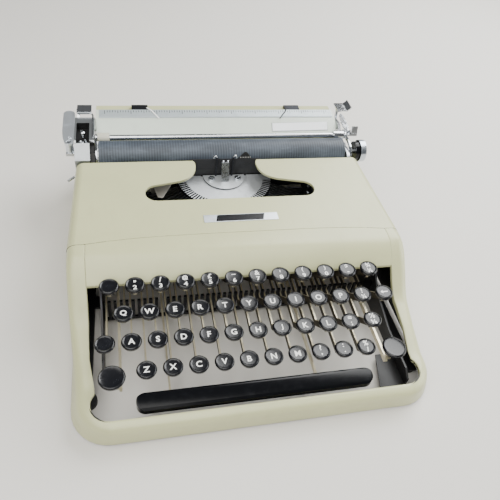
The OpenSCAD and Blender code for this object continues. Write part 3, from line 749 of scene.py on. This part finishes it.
def soften(mesh: bpy.types.Mesh, level: float) -> None:
    """Shade a construction mesh smoothly over its facets; its vertices stay as they are.

    Args:
        mesh: The mesh.
        level: Share by which nearly level faces are shaded flatter than they are.
    """
    places = [tuple(round(c * 1e5) for c in v.co) for v in mesh.vertices]
    around: dict[Point, list[tuple[Vector, float]]] = {}
    for face in mesh.polygons:
        for corner in face.vertices:
            around.setdefault(places[corner], []).append((face.normal.copy(), face.area))
    limit = math.cos(math.radians(CREASE))
    normals = []
    for face in mesh.polygons:
        for corner in face.vertices:
            total = Vector()
            for normal, area in around[places[corner]]:
                if normal.dot(face.normal) > limit:
                    total += normal * area
            if total.z > NEARLY_LEVEL * total.length:
                total = Vector((total.x * (1.0 - level), total.y * (1.0 - level), total.z))
            normals.append(total.normalized() if total.length > 0 else face.normal.copy())
    mesh.shade_smooth()
    mesh.normals_split_custom_set(normals)


@dataclass(frozen=True)
class Zone:
    """The faces of a node that take one finish; a span that is left out holds every face.

    x, y and z bound the face's centre, reach its distance from a pole whose free coordinate is
    None, and lean_x, lean_y and lean_z its normal.
    """

    number: int
    x: Span = EVERY
    y: Span = EVERY
    z: Span = EVERY
    pole: tuple[Optional[float], ...] = (None, None, None)
    reach: Span = EVERY
    lean_x: Span = EVERY
    lean_y: Span = EVERY
    lean_z: Span = EVERY

    def holds(self, centre: Vector, normal: Vector) -> bool:
        """Whether a face lies in the zone.

        Args:
            centre: The face's centre.
            normal: Its normal.

        Returns:
            Whether every span holds it.
        """
        spans = (self.x, self.y, self.z, self.lean_x, self.lean_y, self.lean_z)
        far = math.hypot(*(c - p for c, p in zip(centre, self.pole) if p is not None))
        inside = all(within(value, span) for value, span in zip((*centre, *normal), spans))
        return inside and within(far, self.reach)


Zones = tuple[Zone, ...]


def by_zone(*zones: Zone) -> Pick:
    """A pick that takes the number of the first zone that holds a face, or else 0."""
    return lambda centre, normal: next((z.number for z in zones if z.holds(centre, normal)), 0)


class Assembly:
    """A sub-assembly: finishes the construction model's nodes and adds pieces that ride on it."""

    def dress(self, name: str, *finishes: Finish, pick: Pick, level: float = 0.0) -> None:
        """Give a node its finish, or several of them by face.

        Args:
            name: The node.
            finishes: Its finishes.
            pick: Takes a face's centre and normal, in the machine's millimetres, and returns
                the number of its finish.
            level: Share by which its nearly level faces are shaded flatter.
        """
        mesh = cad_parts[name].data
        soften(mesh, level)
        mesh.materials.clear()
        for finish in finishes:
            mesh.materials.append(finish.material())
        for face in mesh.polygons:
            c = face.center
            centre = Vector((c.x / MM, c.y / MM + HALF_DEPTH, c.z / MM))
            face.material_index = pick(centre, face.normal)
        log.info("dressed %s with %s", name, ", ".join(f.name for f in finishes))

    def add(
        self,
        name: str,
        made: Union[Shape, bpy.types.Mesh],
        body: str,
        *finishes: Finish,
        slot: str,
        bevel: float = 0.0,
    ) -> None:
        """Add a piece that rides on a body.

        Args:
            name: The piece's name.
            made: Its shape, or its mesh in metres in the shared frame.
            body: The body that it moves with.
            finishes: Its finishes, by finish number.
            slot: The record's material slot; not used.
            bevel: Width of the bevel on its edges, in millimetres.
        """
        mesh = made.mesh(name) if isinstance(made, Shape) else made
        piece = bpy.data.objects.new(name, mesh)
        bpy.context.scene.collection.objects.link(piece)
        for finish in finishes:
            mesh.materials.append(finish.material())
        if bevel:
            edge = piece.modifiers.new("edge", "BEVEL")
            edge.width = bevel * MM
            edge.segments = 2
            edge.limit_method = "ANGLE"
        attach(piece, body)
        log.info("added %s on %s", name, body)


class Row(Enum):
    """The four rows of typing keys, front row first, with the keys' names from left to right."""

    BOTTOM = ("z", "x", "c", "v", "b", "n", "m", "comma", "period", "slash")
    HOME = ("a", "s", "d", "f", "g", "h", "j", "k", "l", "semicolon", "eighth")
    TOP = ("q", "w", "e", "r", "t", "y", "u", "i", "o", "p", "quarter")
    FIGURES = ("2", "3", "4", "5", "6", "7", "8", "9", "0", "hyphen", "half")


SIGNS = {
    "comma": (",", "?"), "period": (".", ":"), "slash": ("/", "%"), "semicolon": (";", "="),
    "2": ("2", '"'), "3": ("3", "/"), "4": ("4", "@"), "5": ("5", "£"), "6": ("6", "_"),
    "7": ("7", "&"), "8": ("8", "'"), "9": ("9", "("), "0": ("0", ")"), "hyphen": ("-", "$"),
    "half": ("½", "¾"), "quarter": ("¼", "!"), "eighth": ("⅛", "⅜"),
}


@dataclass
class Keyboard(Assembly):
    """The typing keys, the other keys and the space bar."""

    first_lane_x: float = -96.5
    lane: float = 4.7625
    lanes_per_key: int = 4
    first_row_y: float = 38.0
    row_pitch: float = 19.0
    first_row_z: float = 36.0
    row_rise: float = 9.4
    first_lanes: tuple[int, ...] = (2, 0, -1, 1)
    shift_lock: tuple[int, int] = (-4, 1)
    backspace: tuple[int, int] = (43, 2)
    margin_release: tuple[int, int] = (-3, 3)
    socket_drop: float = 10.0
    socket_rise: float = 3.3
    lever_half: float = 0.73
    flattening: float = 0.6
    dish_r: float = 5.7
    dish_depth: float = 0.9
    dish_rise: float = 0.5
    lift: float = 0.05
    letter_size: float = 6.8
    letter_limit: float = 5.4
    sign_size: float = 5.9
    sign_limit: float = 4.4
    sign_shift: float = 2.9
    stroke: float = 0.16
    shift_zones: Zones = (
        Zone(0, y=under(60.0), z=over(27.2)),  # tops
        Zone(2, y=over(230.0)),  # tie bar
        Zone(1),  # levers
    )
    bar_zones: Zones = (Zone(0, y=under(24.5), z=over(20.4)), Zone(1))  # bar, arms

    def build(self) -> None:
        """Dress every key and add its legend."""
        for row, letters in enumerate(Row):
            for i, name in enumerate(letters.value):
                key = self.rim(self.first_lanes[row] + self.lanes_per_key * i, row)
                self.dress_key(f"key_{name}", key)
                lower, upper = SIGNS.get(name, (name.upper(), ""))
                if upper:
                    self.legend(name, "sign_{}_upper", upper, key, self.sign_shift)
                    self.legend(name, "sign_{}_lower", lower, key, -self.sign_shift)
                else:
                    self.legend(name, "letter_{}", lower, key)
        self.dress_key("shift_lock_key", self.rim(*self.shift_lock))
        self.dress_key("backspace_key", self.rim(*self.backspace))
        self.dress_key("margin_release_key", self.rim(*self.margin_release))
        self.back_arrow(*self.rim(*self.backspace))
        shift_pick = by_zone(*self.shift_zones)
        self.dress("shift_keys", KEY_BLACK, LEVER_METAL, DARK_STEEL, pick=shift_pick)
        self.dress("space_bar", BAR_BLACK, LEVER_METAL, pick=by_zone(*self.bar_zones))

    def rim(self, lane: int, row: int) -> Point:
        """Middle of a key's rim, from its lever's lane and its row."""
        x, y = self.first_lane_x + lane * self.lane, self.first_row_y + row * self.row_pitch
        return (x, y, self.first_row_z + row * self.row_rise)

    def dress_key(self, name: str, key: Point) -> None:
        """Give a key its black top, its bright lever and the lever's sides in a darker metal, which
        is painted shade.

        Args:
            name: The node.
            key: Middle of the key's rim.
        """
        collar_z = key[2] - self.socket_drop + self.socket_rise
        width = (key[0] - self.lever_half, key[0] + self.lever_half)
        # Lever faces turned sideways take the darker metal, as painted shade.
        pick = by_zone(
            Zone(0, z=over(collar_z)), Zone(1, x=width, lean_x=(-0.5, 0.5)), Zone(2, x=width)
        )
        self.dress(name, KEY_BLACK, LEVER_METAL, LEVER_SHADED_SIDE, pick=pick, level=self.flattening)

    def dish_z(self, dx: float, dy: float, top: float) -> float:
        """Height of the dish of a key with its rim at top, off its middle by dx and dy."""
        reach = math.hypot(dx, dy) / self.dish_r
        return top - self.dish_depth + self.dish_rise * reach * reach + self.lift

    def legend(
        self, letter: str, pattern: str, text: str, key: Point, shift: float = 0.0
    ) -> None:
        """Lay a bold sign in the dish of a key.

        Args:
            letter: The key's name.
            pattern: The piece's name, with braces where the key's name goes.
            text: The sign.
            key: Middle of the key's rim.
            shift: How far back of the key's middle a small sign lies; 0 for a letter.
        """
        name = pattern.format(letter)
        curve = bpy.data.curves.new(name, "FONT")
        curve.body = text
        curve.size = self.sign_size if shift else self.letter_size
        curve.offset = self.stroke
        curve.resolution_u = 4
        sign = bpy.data.objects.new(name + "_curve", curve)
        bpy.context.scene.collection.objects.link(sign)
        bpy.context.view_layer.update()
        graph = bpy.context.evaluated_depsgraph_get()
        mesh = bpy.data.meshes.new_from_object(sign.evaluated_get(graph))
        bpy.data.objects.remove(sign)
        xs = [v.co.x for v in mesh.vertices]
        ys = [v.co.y for v in mesh.vertices]
        mid_x, mid_y = (min(xs) + max(xs)) / 2, (min(ys) + max(ys)) / 2
        limit = self.sign_limit if shift else self.letter_limit
        squeeze = min(1.0, limit / (max(ys) - min(ys)))
        for v in mesh.vertices:
            dx, dy = (v.co.x - mid_x) * squeeze, (v.co.y - mid_y) * squeeze + shift
            v.co = spot(key[0] + dx, key[1] + dy, self.dish_z(dx, dy, key[2]))
        mesh.name = name
        mesh.materials.clear()
        self.add(name, mesh, f"b_key_{letter}", LEGEND_WHITE, slot="key_plastic")

    def back_arrow(self, x: float, y: float, top: float) -> None:
        """Lay a plain arrow to the left on the backspace key.

        Args:
            x: Middle of the key.
            y: Middle of the key.
            top: Height of its rim.
        """
        tip, barb, tail, half, thick = -3.3, -1.0, 3.2, 0.6, 0.05
        outline = [(tip, 0.0), (barb, 1.7), (barb, half), (tail, half)]
        outline += [(tail, -half), (barb, -half), (barb, -1.7)]

        def onto(a: float, b: float, h: float) -> Point:
            """A place at a height over the key's dish."""
            return (a, b, self.dish_z(a - x, b - y, top) + h)

        shape = Shape().prism([(x + a, y + b) for a, b in outline], 0.0, thick, onto)
        self.add(
            "sign_backspace_arrow", shape, "b_backspace_key", LEGEND_WHITE, slot="key_plastic"
        )


@dataclass
class Casework(Assembly):
    """The shell and the ribbon cover, with the bare name field on the deck."""

    front_radius: float = 30.0
    half_width: float = 143.0
    seam_y: float = 136.5
    rear_y: float = 250.0
    deck_z: float = 67.0
    deck_slope: float = 1.5 / 102.5
    wall_reach: float = 6.0
    side_reach: float = 3.6
    badge: tuple[float, float, float, float] = (-31.3, 154.0, 34.3, 162.9)
    badge_rim: float = 0.7
    cover_zones: Zones = (
        # Faces of zone 1, inside and under the cover, take the black finish as painted shade.
        Zone(1, lean_z=under(-0.25)),  # underside
        Zone(1, y=under(137.5), lean_y=under(-0.7)),  # wall along the seam
        Zone(1, x=over(110.0), lean_x=under(-0.0024)),  # inner sides
        Zone(1, x=under(-110.0), lean_x=over(0.0024)),
    )

    def build(self) -> None:
        """Dress the shell and the cover and add the bare field."""
        # The shell's inner walls and undersides take the black finish, as painted shade.
        self.dress("body_shell", GREIGE, SHADE_BLACK, pick=self.shell_part)
        self.dress("ribbon_cover", GREIGE, SHADE_BLACK, pick=by_zone(*self.cover_zones))
        self.name_field()

    def shell_part(self, centre: Vector, normal: Vector) -> int:
        """Number of the finish for a face of the shell.

        Args:
            centre: The face's centre.
            normal: Its normal.

        Returns:
            0 for the painted outside, 1 for the inside, painted black as painted shade.
        """
        if normal.z < -0.25 or (abs(centre.y - self.seam_y) < 1.5 and normal.y > 0.7):
            return 1
        side = math.copysign(1.0, centre.x)
        corner = Vector((side * (self.half_width - self.front_radius), self.front_radius, 0.0))
        if centre.y > self.front_radius:
            inward = Vector((-side, 0.0, 0.0))
            inset = self.half_width - abs(centre.x)
            if centre.y > self.rear_y and normal.y < -0.5:
                return 1
        elif abs(centre.x) < abs(corner.x):
            inward = Vector((0.0, 1.0, 0.0))
            inset = centre.y
        else:
            spoke = Vector((centre.x, centre.y, 0.0)) - corner
            inward = -spoke.normalized()
            inset = self.front_radius - spoke.length
        reach = self.wall_reach + self.side_reach * abs(inward.x)
        return 1 if normal.dot(inward) > 0.25 and inset < reach and abs(normal.z) < 0.7 else 0

    def on_deck(self, x: float, y: float, h: float) -> Point:
        """A place at a height over the deck."""
        return (x, y, self.deck_z + (y - self.seam_y) * self.deck_slope + h)

    def name_field(self) -> None:
        """Lay the bare plate on the deck: a bright frame with a slanting black field."""
        x0, y0, x1, y1 = self.badge
        plate = Shape().prism(box(x0, y0, x1, y1), 0.03, 0.5, self.on_deck)
        self.add("name_field_plate", plate, "cover", ALUMINIUM, slot="bright_chrome", bevel=0.15)
        low, high = y0 + self.badge_rim, y1 - self.badge_rim
        outline = [(x0 + 10.2, low), (x1 - 13.6, low), (x1 - 11.4, high), (x0 + 12.4, high)]
        field = Shape().prism(outline, 0.3, 0.62, self.on_deck)
        self.add("name_field_black", field, "cover", KEY_BLACK, slot="key_plastic")


HUB = (0.0, SEGMENT_Y, None)


@dataclass
class Works(Assembly):
    """The inner frame, the type basket and the ribbon."""

    chassis_zones: Zones = (
        Zone(4, x=over(119.0), z=under(3.95)),  # rubber feet
        Zone(4, x=under(-119.0), z=under(3.95)),
        Zone(3, y=under(222.0), z=(35.0, 38.7), pole=HUB, reach=(79.0, 85.0)),  # felt rest
        Zone(2, y=(280.0, 292.0), z=(46.05, 53.2)),  # carriage rail
        Zone(2, x=under(-118.0), y=(232.0, 249.0), z=over(45.0)),  # side wire lever
        Zone(1, y=(106.5, 109.5)),  # comb
        Zone(1, pole=(None, 236.0, 20.0), reach=(2.2, 2.8)),  # lever shaft
    )
    basket_zones: Zones = (
        Zone(2, z=over(50.45)),  # hub and guide
        Zone(2, pole=HUB, reach=over(87.5)),  # type heads
        Zone(1, z=over(48.9), pole=HUB, reach=under(47.2), lean_z=over(0.8)),  # faced top
        Zone(3, pole=HUB, reach=over(48.5)),  # typebars
    )
    ribbon_zones: Zones = (
        Zone(2, x=(-9.5, 9.5), y=under(239.2)),  # guide posts
        *(
            Zone(0, z=z, pole=(x, 196.0, None), reach=under(r))  # spool flanges and hubs
            for x in (-99.0, 99.0)
            for z, r in ((under(51.7), 21.6), (over(63.5), 21.6), (EVERY, 6.0))
        ),
        Zone(1),  # ribbon
    )
    shade_sheet_y: Span = (240.0, 240.5)
    finger_y: Span = (240.15, 240.55)
    hook: Span = (8.0, 238.1)
    screw_plate_z: Span = (46.2, 47.4)

    def build(self) -> None:
        """Dress the inner frame, the type basket and the ribbon, and add their small parts."""
        inside = (BLACK_ENAMEL, DARK_STEEL, STEEL, PAD_FELT, FOOT_RUBBER)
        for name, zones, finishes in (
            ("chassis", self.chassis_zones, inside),
            ("type_basket", self.basket_zones, (DARK_STEEL, SEGMENT_METAL, STEEL, BAR_STEEL)),
            ("ribbon_gear", self.ribbon_zones, (BLACK_ENAMEL, RIBBON_CLOTH, DARK_STEEL)),
        ):
            self.dress(name, *finishes, pick=by_zone(*zones))
        self.ribbon_hooks()
        # A black sheet behind the segment stands in for the shade in the gap there.
        self.segment_shade_sheet()
        self.card_finger()
        self.basket_shield()
        self.lobe_screws()
        self.guide_lugs()

    def ribbon_hooks(self) -> None:
        """Add the two curled wires that hold the ribbon to its guides."""
        curl = [(0.0, 72.4), (0.0, 72.8), (0.5, 73.6), (1.5, 74.2), (2.6, 73.9), (3.2, 72.8)]
        curl.append((3.3, 71.2))
        x, y = self.hook
        for side, name in ((-1, "ribbon_hook_left"), (1, "ribbon_hook_right")):
            path = [(side * x + side * out, y, z) for out, z in curl]
            wire = Shape().sweep(path, circle(0.55, 10), (0.0, 1.0, 0.0))
            self.add(name, wire, "machine", CHROME, slot="bright_chrome")

    def segment_shade_sheet(self) -> None:
        """Add a black sheet behind the segment, with the two lugs it is fixed by; it stands in for
        the shade there, as painted shade.
        """
        shape = Shape().prism(box(-88.0, 34.0, 88.0, 57.5), *self.shade_sheet_y, facing_on)
        for x in (-44.0, 36.0):
            shape.prism(box(x, 45.0, x + 8.0, 49.0), 239.05, self.shade_sheet_y[0], facing_on)
        self.add(
            "segment_shade_sheet", shape, "machine", BLACK_ENAMEL, slot="chassis_paint", bevel=0.1
        )

    def card_finger(self) -> None:
        """Add the dark card guide that stands behind the ribbon, with its row of marks."""
        outline = [(13.2, 62.0), (27.0, 62.0), (27.0, 68.2), (26.0, 70.0)]
        outline += [(21.4, 76.2), (20.0, 76.8), (18.6, 76.2), (13.2, 69.4)]
        shape = Shape().prism(outline, *self.finger_y, facing_on)
        for i in range(7):
            x = 15.2 + i * 1.6
            shape.prism(box(x, 69.9, x + 0.45, 71.0), 240.1, 240.16, facing_on, 1)
        shape.prism(box(14.0, 57.5, 26.0, 62.0), *self.finger_y, facing_on)
        self.add("card_finger", shape, "machine", BLACK_ENAMEL, LEGEND_WHITE, slot="ribbon_black")

    def basket_shield(self) -> None:
        """Add the grey sheet beside the left end of the type basket, and its leg."""
        sheet = [(-71.5, 232.0), (-52.5, 236.0), (-50.6, 229.5), (-62.0, 207.5), (-66.6, 208.6)]
        leg = [(-71.5, 232.0), (-71.5, 233.2), (-66.0, 234.2), (-66.0, 233.0)]
        shape = Shape().prism(sheet, 50.2, 50.8).prism(leg, 29.05, 50.4)
        self.add("basket_shield", shape, "machine", SHEET_METAL, slot="type_steel", bevel=0.2)

    def lobe_screws(self) -> None:
        """Add the two screws in the right end of the opening, on a black plate with a leg."""
        top = self.screw_plate_z[1]
        plate = [(77.5, 207.0), (90.0, 207.0), (95.0, 226.0), (95.0, 228.0), (77.5, 228.0)]
        shape = Shape().prism(plate, *self.screw_plate_z, flat_on, 2)
        shape.prism(box(92.5, 226.0, 95.0, 228.0), 38.05, 46.4, flat_on, 2)
        shape.screw((85.0, 221.8, top), UP, 2.6, 0.9)
        shape.screw((82.0, 212.4, top), UP, 2.3, 0.2)
        finishes = (STEEL, MARK_BLACK, BLACK_ENAMEL)
        self.add("basket_end_screws", shape, "machine", *finishes, slot="type_steel")

    def guide_lugs(self) -> None:
        """Add the two round lugs on top of the type guide."""
        shape = Shape()
        for x in (-2.3, 2.3):
            profile = [(0.4, 0.0), (1.1, 0.3), (1.2, 0.9), (0.9, 1.5), (0.2, 1.8)]
            shape.turn(profile, (x, 236.2, 68.3))
        self.add("type_guide_lugs", shape, "machine", CHROME, slot="type_steel")


@dataclass
class Carriage(Assembly):
    """The carriage with its platen, bail, table and levers."""

    platen_y: float = 255.0
    platen_z: float = 65.0
    table_left: float = -119.5
    table_right: float = 127.5
    table_profile: Outline = ((276.2, 69.7), (280.7, 71.2), (296.7, 80.2), (305.9, 82.5))
    recess_floor: float = 72.5
    scale_y: tuple[float, ...] = (295.6, 296.7, 301.0, 305.6)
    ticks: int = 92
    tick_pitch: float = 2.54
    tick_y: float = 304.6
    tick_width: float = 0.55
    teeth: int = 30
    frame_zones: Zones = (
        Zone(1, z=over(72.3), pole=(-131.5, 270.5, None), reach=under(2.7)),  # ball on its post
        Zone(2, x=(-137.5, -125.5), y=(256.0, 287.7), z=(72.3, 79.45)),  # recess, painted black as painted shade
        Zone(2, x=(-126.5, -116.0), y=under(262.0), z=under(79.0)),  # left cheek, painted black as painted shade
        Zone(1, x=under(-139.02)),  # lever bracket
        Zone(4, x=under(-120.9), z=over(50.0)),  # left casting
        Zone(3, x=over(128.9), z=over(55.6)),  # right casting
    )
    platen_zones: Zones = (
        Zone(0, x=(-117.5, 125.0), lean_x=(-0.5, 0.5)),  # roller
        Zone(3, x=over(144.15), pole=(None, 255.0, 65.0), reach=over(11.0)),  # knob's rim
        Zone(2, x=over(139.4)),  # knob
        Zone(1),  # shaft
    )
    table_zones: Zones = (
        Zone(2, x=(-85.05, -68.95), y=(307.0, 317.0), z=over(79.35)),  # margin stops
        Zone(2, x=(74.95, 91.05), y=(307.0, 317.0), z=over(79.35)),
        Zone(1, y=over(308.9)),  # rear rail
    )
    left_sleeve: Zone = Zone(1, x=(-118.6, -107.3), pole=(None, 271.08, 73.73), reach=over(3.9))

    def build(self) -> None:
        """Dress the carriage's nodes and add its small parts."""
        casting = (GREIGE, CHROME, SHADE_BLACK, STEEL, HOUSING_METAL)
        for name, zones, finishes in (
            ("carriage_frame", self.frame_zones, casting),
            ("carriage_release", (), (CHROME,)),
            ("platen", self.platen_zones, (PLATEN_RUBBER, STEEL, BAR_BLACK, RING_METAL)),
            ("paper_table", self.table_zones, (CREAM, GREIGE, DARK_STEEL)),
            ("paper_bail", (self.left_sleeve,), (CHROME, SLEEVE_CREAM)),
            ("return_lever", (), (ALUMINIUM,)),
            ("paper_release", (), (CHROME,)),
        ):
            self.dress(name, *finishes, pick=by_zone(*zones))
        self.scale()
        self.pointers()
        self.bare_plate()
        self.ratchet()
        self.left_end_details()
        self.end_screws()

    def table_z(self, y: float) -> float:
        """Height of the paper table's upper face.

        Args:
            y: Distance from the front wall.

        Returns:
            The height.
        """
        for (y0, z0), (y1, z1) in zip(self.table_profile, self.table_profile[1:]):
            if y <= y1:
                return z0 + (y - y0) * (z1 - z0) / (y1 - y0)
        return self.table_profile[-1][1]

    def on_table(self, x: float, y: float, h: float) -> Point:
        """A place at a height over the paper table."""
        return (x, y, self.table_z(y) + h)

    def scale(self) -> None:
        """Add the bright paper scale with its ticks along the rear of the paper table."""
        left, right = self.table_left + 3, self.table_right - 2
        shape = Shape()
        for y0, y1 in zip(self.scale_y, self.scale_y[1:]):
            shape.prism(box(left, y0, right, y1), 0.02, 0.35, self.on_table)
        for i in range(self.ticks):
            x = self.table_left + 8 + i * self.tick_pitch
            tall = 4.6 if i % 10 == 0 else 3.4 if i % 5 == 0 else 2.4
            tick = box(x, self.tick_y - tall, x + self.tick_width, self.tick_y)
            shape.prism(tick, 0.34, 0.38, self.on_table, 1)
        self.add("paper_scale", shape, "carriage", SCALE_METAL, MARK_BLACK, slot="lever_aluminium")

    def pointers(self) -> None:
        """Add the two slanting pointers of the margin stops."""
        root_z, least_z, over = 83.0, 80.0, 0.75
        for name, path, finish in (
            ("margin_pointer_left", [(-70.0, 309.0), (-66.0, 304.6), (-58.8, 294.2)], LEGEND_WHITE),
            ("margin_pointer_right", [(76.5, 309.0), (74.6, 303.4), (66.3, 293.4)], MARK_BLACK),
        ):
            rise = [(x, y, max(self.table_z(min(y, 305.0)) + over, least_z)) for x, y in path]
            rise[0] = (*path[0], root_z)
            wire = Shape().sweep(rise, slab(1.3, 0.5))
            self.add(name, wire, "carriage", finish, slot="carriage_paint")

    def bare_plate(self) -> None:
        """Lay the bare white plate, in its rim, on the slope of the paper table."""
        plate = [(57.2, 281.9), (117.6, 282.7), (118.4, 290.6), (57.6, 289.6)]
        rim = [(56.6, 281.4), (118.1, 282.2), (119.0, 291.1), (57.0, 290.1)]
        shape = Shape().prism(plate, 0.15, 0.5, self.on_table)
        shape.prism(rim, 0.02, 0.3, self.on_table, 1)
        finishes = (PLATE_WHITE, HOUSING_METAL)
        self.add("bare_plate", shape, "carriage", *finishes, slot="table_paint", bevel=0.1)

    def ratchet(self) -> None:
        """Add the toothed line-space wheel on the left end of the platen."""
        outline = []
        for i in range(self.teeth):
            for r, part in ((12.0, 0.0), (13.2, 0.25), (13.2, 0.45), (12.0, 0.7)):
                a = math.tau * (i + part) / self.teeth
                outline.append((self.platen_y + r * math.cos(a), self.platen_z + r * math.sin(a)))
        shape = Shape().prism(outline, -118.7, -117.62, across_on)
        self.add("line_space_wheel", shape, "platen_roller", STEEL, slot="platen_rubber")

    def left_end_details(self) -> None:
        """Add the small parts in and beside the recess of the left end."""
        z = self.recess_floor
        post = (-133.9, 264.4, z + 0.02)
        shape = Shape().screw((-133.4, 284.6, z + 0.02), UP, 1.5)
        shape.turn([(2.9, 0.0), (2.9, 0.9), (2.2, 1.3)], post)
        shape.turn([(1.0, 1.2), (1.0, 2.4), (0.5, 2.8)], post)
        pawl = [(-128.8, 257.5, z + 0.5), (-128.6, 264.0, z + 0.9), (-130.0, 268.0, z + 1.2)]
        shape.sweep(pawl, slab(1.8, 0.8))
        self.add("recess_parts", shape, "carriage", STEEL, MARK_BLACK, slot="lever_aluminium")
        profile = [(1.9, 0.0), (1.7, 0.35), (1.0, 0.45), (0.9, 0.2)]
        rivet = Shape().turn(profile, (-143.2, 263.0, 79.52))
        self.add("lever_rivet", rivet, "line_lever", ALUMINIUM, slot="lever_aluminium")
        path = [(-125.4, 301.6, 81.2), (-123.4, 300.6, 81.1), (-122.4, 298.0, 80.9)]
        path += [(-122.0, 290.0, 80.7), (-121.9, 276.0, 80.6), (-121.9, 264.5, 80.5)]
        path.append((-121.9, 262.8, 80.0))
        stem = Shape().sweep(path, slab(1.5, 1.0))
        self.add("release_stem", stem, "carriage_release_lever", CHROME, slot="bright_chrome")

    def end_screws(self) -> None:
        """Add the screws of both ends and of the back of the carriage."""
        right = ((292.0, 70.0, 2.2), (275.0, 60.0, 2.0), (262.0, 59.0, 1.6))
        left = ((272.0, 60.0, 2.0), (292.0, 62.0, 2.0))
        for name, axis, screws in (
            ("right_end_screws", (1.0, 0.0, 0.0), [(132.0, y, z, r, y / 40) for y, z, r in right]),
            ("left_end_screws", (-1.0, 0.0, 0.0), [(-139.0, y, z, r, y / 30) for y, z, r in left]),
            (
                "rear_bed_screws",
                (0.0, 1.0, 0.0),
                [(x, 300.0, 53.0, 2.0, x / 50) for x in (-100.0, 4.0, 108.0)],
            ),
        ):
            shape = Shape()
            for *place, radius, lean in screws:
                shape.screw(place, axis, radius, lean)
            self.add(name, shape, "carriage", STEEL, MARK_BLACK, slot="lever_aluminium")


@dataclass
class Studio:
    """A pale floor, soft light and the photograph's view."""

    camera_place: Point = (-90.6, -163.0, 371.8)
    azimuth: float = -18.08
    pitch: float = 45.70
    roll: float = 9.714
    focal_px: float = 520.0
    image_px: float = 500.0
    sensor: float = 36.0
    lamps_aim: Point = (0, 150, 40)
    sky: Colour = (0.90, 0.91, 0.92)
    sky_strength: float = 0.17
    floor_half: float = 4.0

    def build(self) -> None:
        """Make the floor, the lights and the camera."""
        self.floor()
        self.light("window", (760, 690, 890), 1.0, 29.0, (0.99, 1.0, 0.99))
        self.light("side_window", (950, -60, 330), 0.5, 4.0, (0.97, 0.99, 1.0))
        self.light("room", (-330, -420, 1150), 1.6, 32.0, (1.0, 0.99, 0.95))
        world = bpy.data.worlds.new("studio")
        world.use_nodes = True
        background = world.node_tree.nodes["Background"].inputs
        background["Color"].default_value = (*self.sky, 1.0)
        background["Strength"].default_value = self.sky_strength
        bpy.context.scene.world = world
        self.camera()

    def floor(self) -> None:
        """Lay a wide pale floor under the feet."""
        half = self.floor_half
        mesh = bpy.data.meshes.new("floor")
        corners = [(x, y, 0) for x, y in box(-half, -half, half, half)]
        mesh.from_pydata(corners, [], [(0, 1, 2, 3)])
        ground = bpy.data.objects.new("floor", mesh)
        bpy.context.scene.collection.objects.link(ground)
        paint = Paint("pale_floor")
        mottle = paint.grain(60.0, 4.0)
        deep = tuple(c * 0.92 for c in FLOOR_TINT)
        paint.set(Base_Color=paint.blend(mottle * 0.1, FLOOR_TINT, deep), Roughness=0.7)
        mesh.materials.append(paint.material)

    def light(self, name: str, place: Point, size: float, power: float, colour: Colour) -> None:
        """Hang a soft square lamp that faces the machine.

        Args:
            name: The lamp's name.
            place: Where it hangs.
            size: Its side in metres.
            power: Its power in watts.
            colour: Its colour.
        """
        lamp = bpy.data.lights.new(name, "AREA")
        lamp.size = size
        lamp.energy = power
        lamp.color = colour
        holder = bpy.data.objects.new(name, lamp)
        holder.location = spot(*place)
        ahead = spot(*self.lamps_aim) - holder.location
        holder.rotation_euler = ahead.to_track_quat("-Z", "Y").to_euler()
        bpy.context.scene.collection.objects.link(holder)

    def camera(self) -> None:
        """Set the camera where the photograph was taken from."""
        az, pitch, roll = (math.radians(a) for a in (self.azimuth, self.pitch, self.roll))
        level = math.cos(pitch)
        ahead = Vector((-math.sin(az) * level, math.cos(az) * level, -math.sin(pitch)))
        right = Vector((math.cos(az), math.sin(az), 0.0))
        up = right.cross(ahead)
        side = math.cos(roll) * right + math.sin(roll) * up
        top = -math.sin(roll) * right + math.cos(roll) * up
        data = bpy.data.cameras.new("camera")
        data.sensor_width = self.sensor
        data.sensor_fit = "HORIZONTAL"
        data.lens = self.focal_px / self.image_px * self.sensor
        data.clip_start, data.clip_end = 0.01, 20.0
        holder = bpy.data.objects.new("camera", data)
        turn = Matrix((side, top, -ahead)).transposed().to_4x4()
        holder.matrix_world = Matrix.Translation(spot(*self.camera_place)) @ turn
        bpy.context.scene.collection.objects.link(holder)
        bpy.context.scene.camera = holder


def main() -> None:
    """Build the looks in order."""
    logging.basicConfig(level=logging.INFO, format="%(message)s")
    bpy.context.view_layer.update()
    for part in (Keyboard(), Casework(), Works(), Carriage(), Studio()):
        part.build()
        log.info("%s is done", type(part).__name__)
    bpy.context.view_layer.update()


if __name__ == "__main__":
    main()
